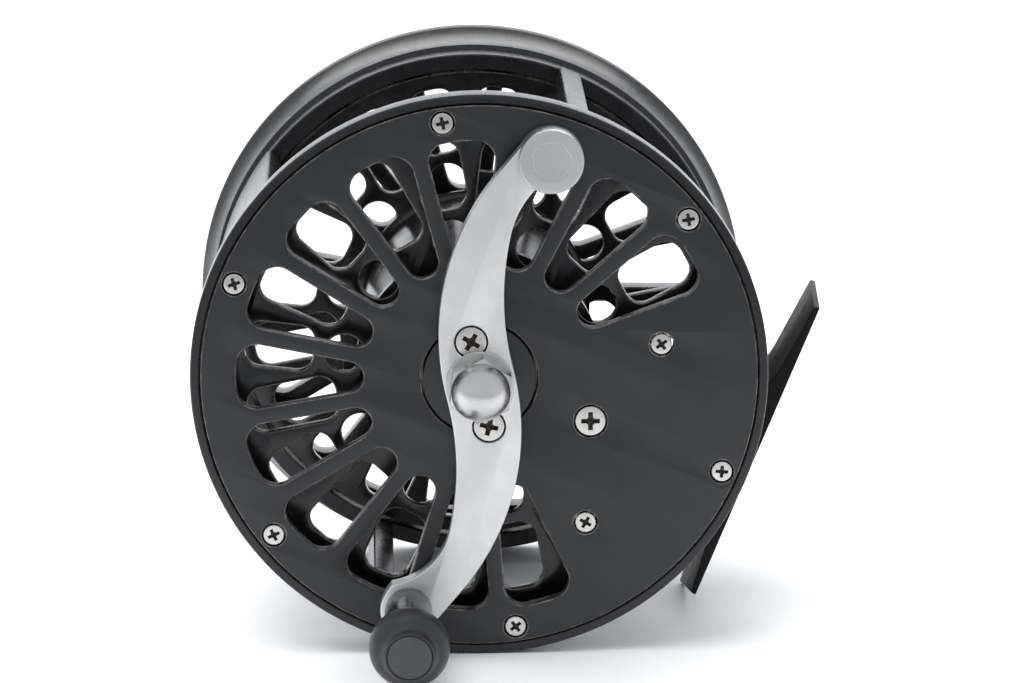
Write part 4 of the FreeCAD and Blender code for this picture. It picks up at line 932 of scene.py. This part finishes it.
FLOOR_HALF, FLOOR_FRONT, FLOOR_BACK, WALL_TOP = 1.6, -1.2, 0.9, 1.4
# Painted shade on the floor: darkest at the first Y, gone by the second, in metres.
FLOOR_SHADE_NEAR, FLOOR_SHADE_FAR = -0.42, -0.07


def make_floor():
    """A pale sweep: a flat floor that curves up into a backdrop, with painted shade darkening it towards
    the camera.
    """
    build = bmesh.new()
    bend = 0.45
    line = [(FLOOR_FRONT, 0.0), (FLOOR_BACK - bend, 0.0)]
    for k in range(1, 13):
        turn = math.radians(90 * k / 12)
        line.append((FLOOR_BACK - bend + bend * math.sin(turn), bend - bend * math.cos(turn)))
    line.append((FLOOR_BACK, WALL_TOP))
    sides = [[build.verts.new((x, y, z)) for y, z in line] for x in (-FLOOR_HALF, FLOOR_HALF)]
    for k in range(len(line) - 1):
        build.faces.new((sides[0][k], sides[1][k], sides[1][k + 1], sides[0][k + 1]))
    floor = finished("floor", build, 60)
    look = Surface("pale_floor", (0.9, 0.905, 0.915), 0.0, 0.5)
    depth = look.nodes.new("ShaderNodeSeparateXYZ")
    look.links.new(look.place, depth.inputs["Vector"])
    # Painted shade: the floor's colour darkens towards the camera.
    shade = look.spread(depth.outputs["Y"], 0, 1, FLOOR_SHADE_NEAR, FLOOR_SHADE_FAR)
    look.tint(shade, (0.2, 0.205, 0.215), (0.9, 0.905, 0.915))
    floor.data.materials.append(look.material)


def softbox(name, place, target, width, height, power, shines=True):
    light = bpy.data.lights.new(name, "AREA")
    light.shape = "RECTANGLE"
    light.size, light.size_y, light.energy = width, height, power
    lamp = bpy.data.objects.new(name, light)
    lamp.location = place
    lamp.rotation_mode = "QUATERNION"
    lamp.rotation_quaternion = (Vector(target) - Vector(place)).to_track_quat("-Z", "Y")
    lamp.visible_glossy = shines
    bpy.context.scene.collection.objects.link(lamp)


def make_world():
    world = bpy.data.worlds.new("studio")
    world.use_nodes = True
    world.node_tree.nodes["Background"].inputs["Color"].default_value = (0.93, 0.96, 1.0, 1)
    world.node_tree.nodes["Background"].inputs["Strength"].default_value = 0.8
    bpy.context.scene.world = world


CAMERA_OFFSET = Vector((-0.01796, -0.78047, 0.21095))
CAMERA_TILT, CAMERA_HEADING, CAMERA_LENS = 14.657, 1.737, 161.4


def make_camera():
    data = bpy.data.cameras.new("camera")
    data.lens, data.sensor_width = CAMERA_LENS, 36
    data.clip_start, data.clip_end = 0.05, 20
    camera = bpy.data.objects.new("camera", data)
    camera.location = origin + CAMERA_OFFSET
    camera.rotation_euler = (math.radians(90 - CAMERA_TILT), 0, -math.radians(CAMERA_HEADING))
    bpy.context.scene.collection.objects.link(camera)
    bpy.context.scene.camera = camera


make_floor()
make_world()
softbox("top_softbox", (-0.25, -0.15, 1.0), (0, 0.02, 0.05), 0.8, 0.8, 9, shines=False)
softbox("back_softbox", (0.0, 0.75, 0.75), (0, 0.1, 0.0), 1.4, 0.6, 9)
make_camera()
bpy.context.scene.view_settings.view_transform = "Standard"
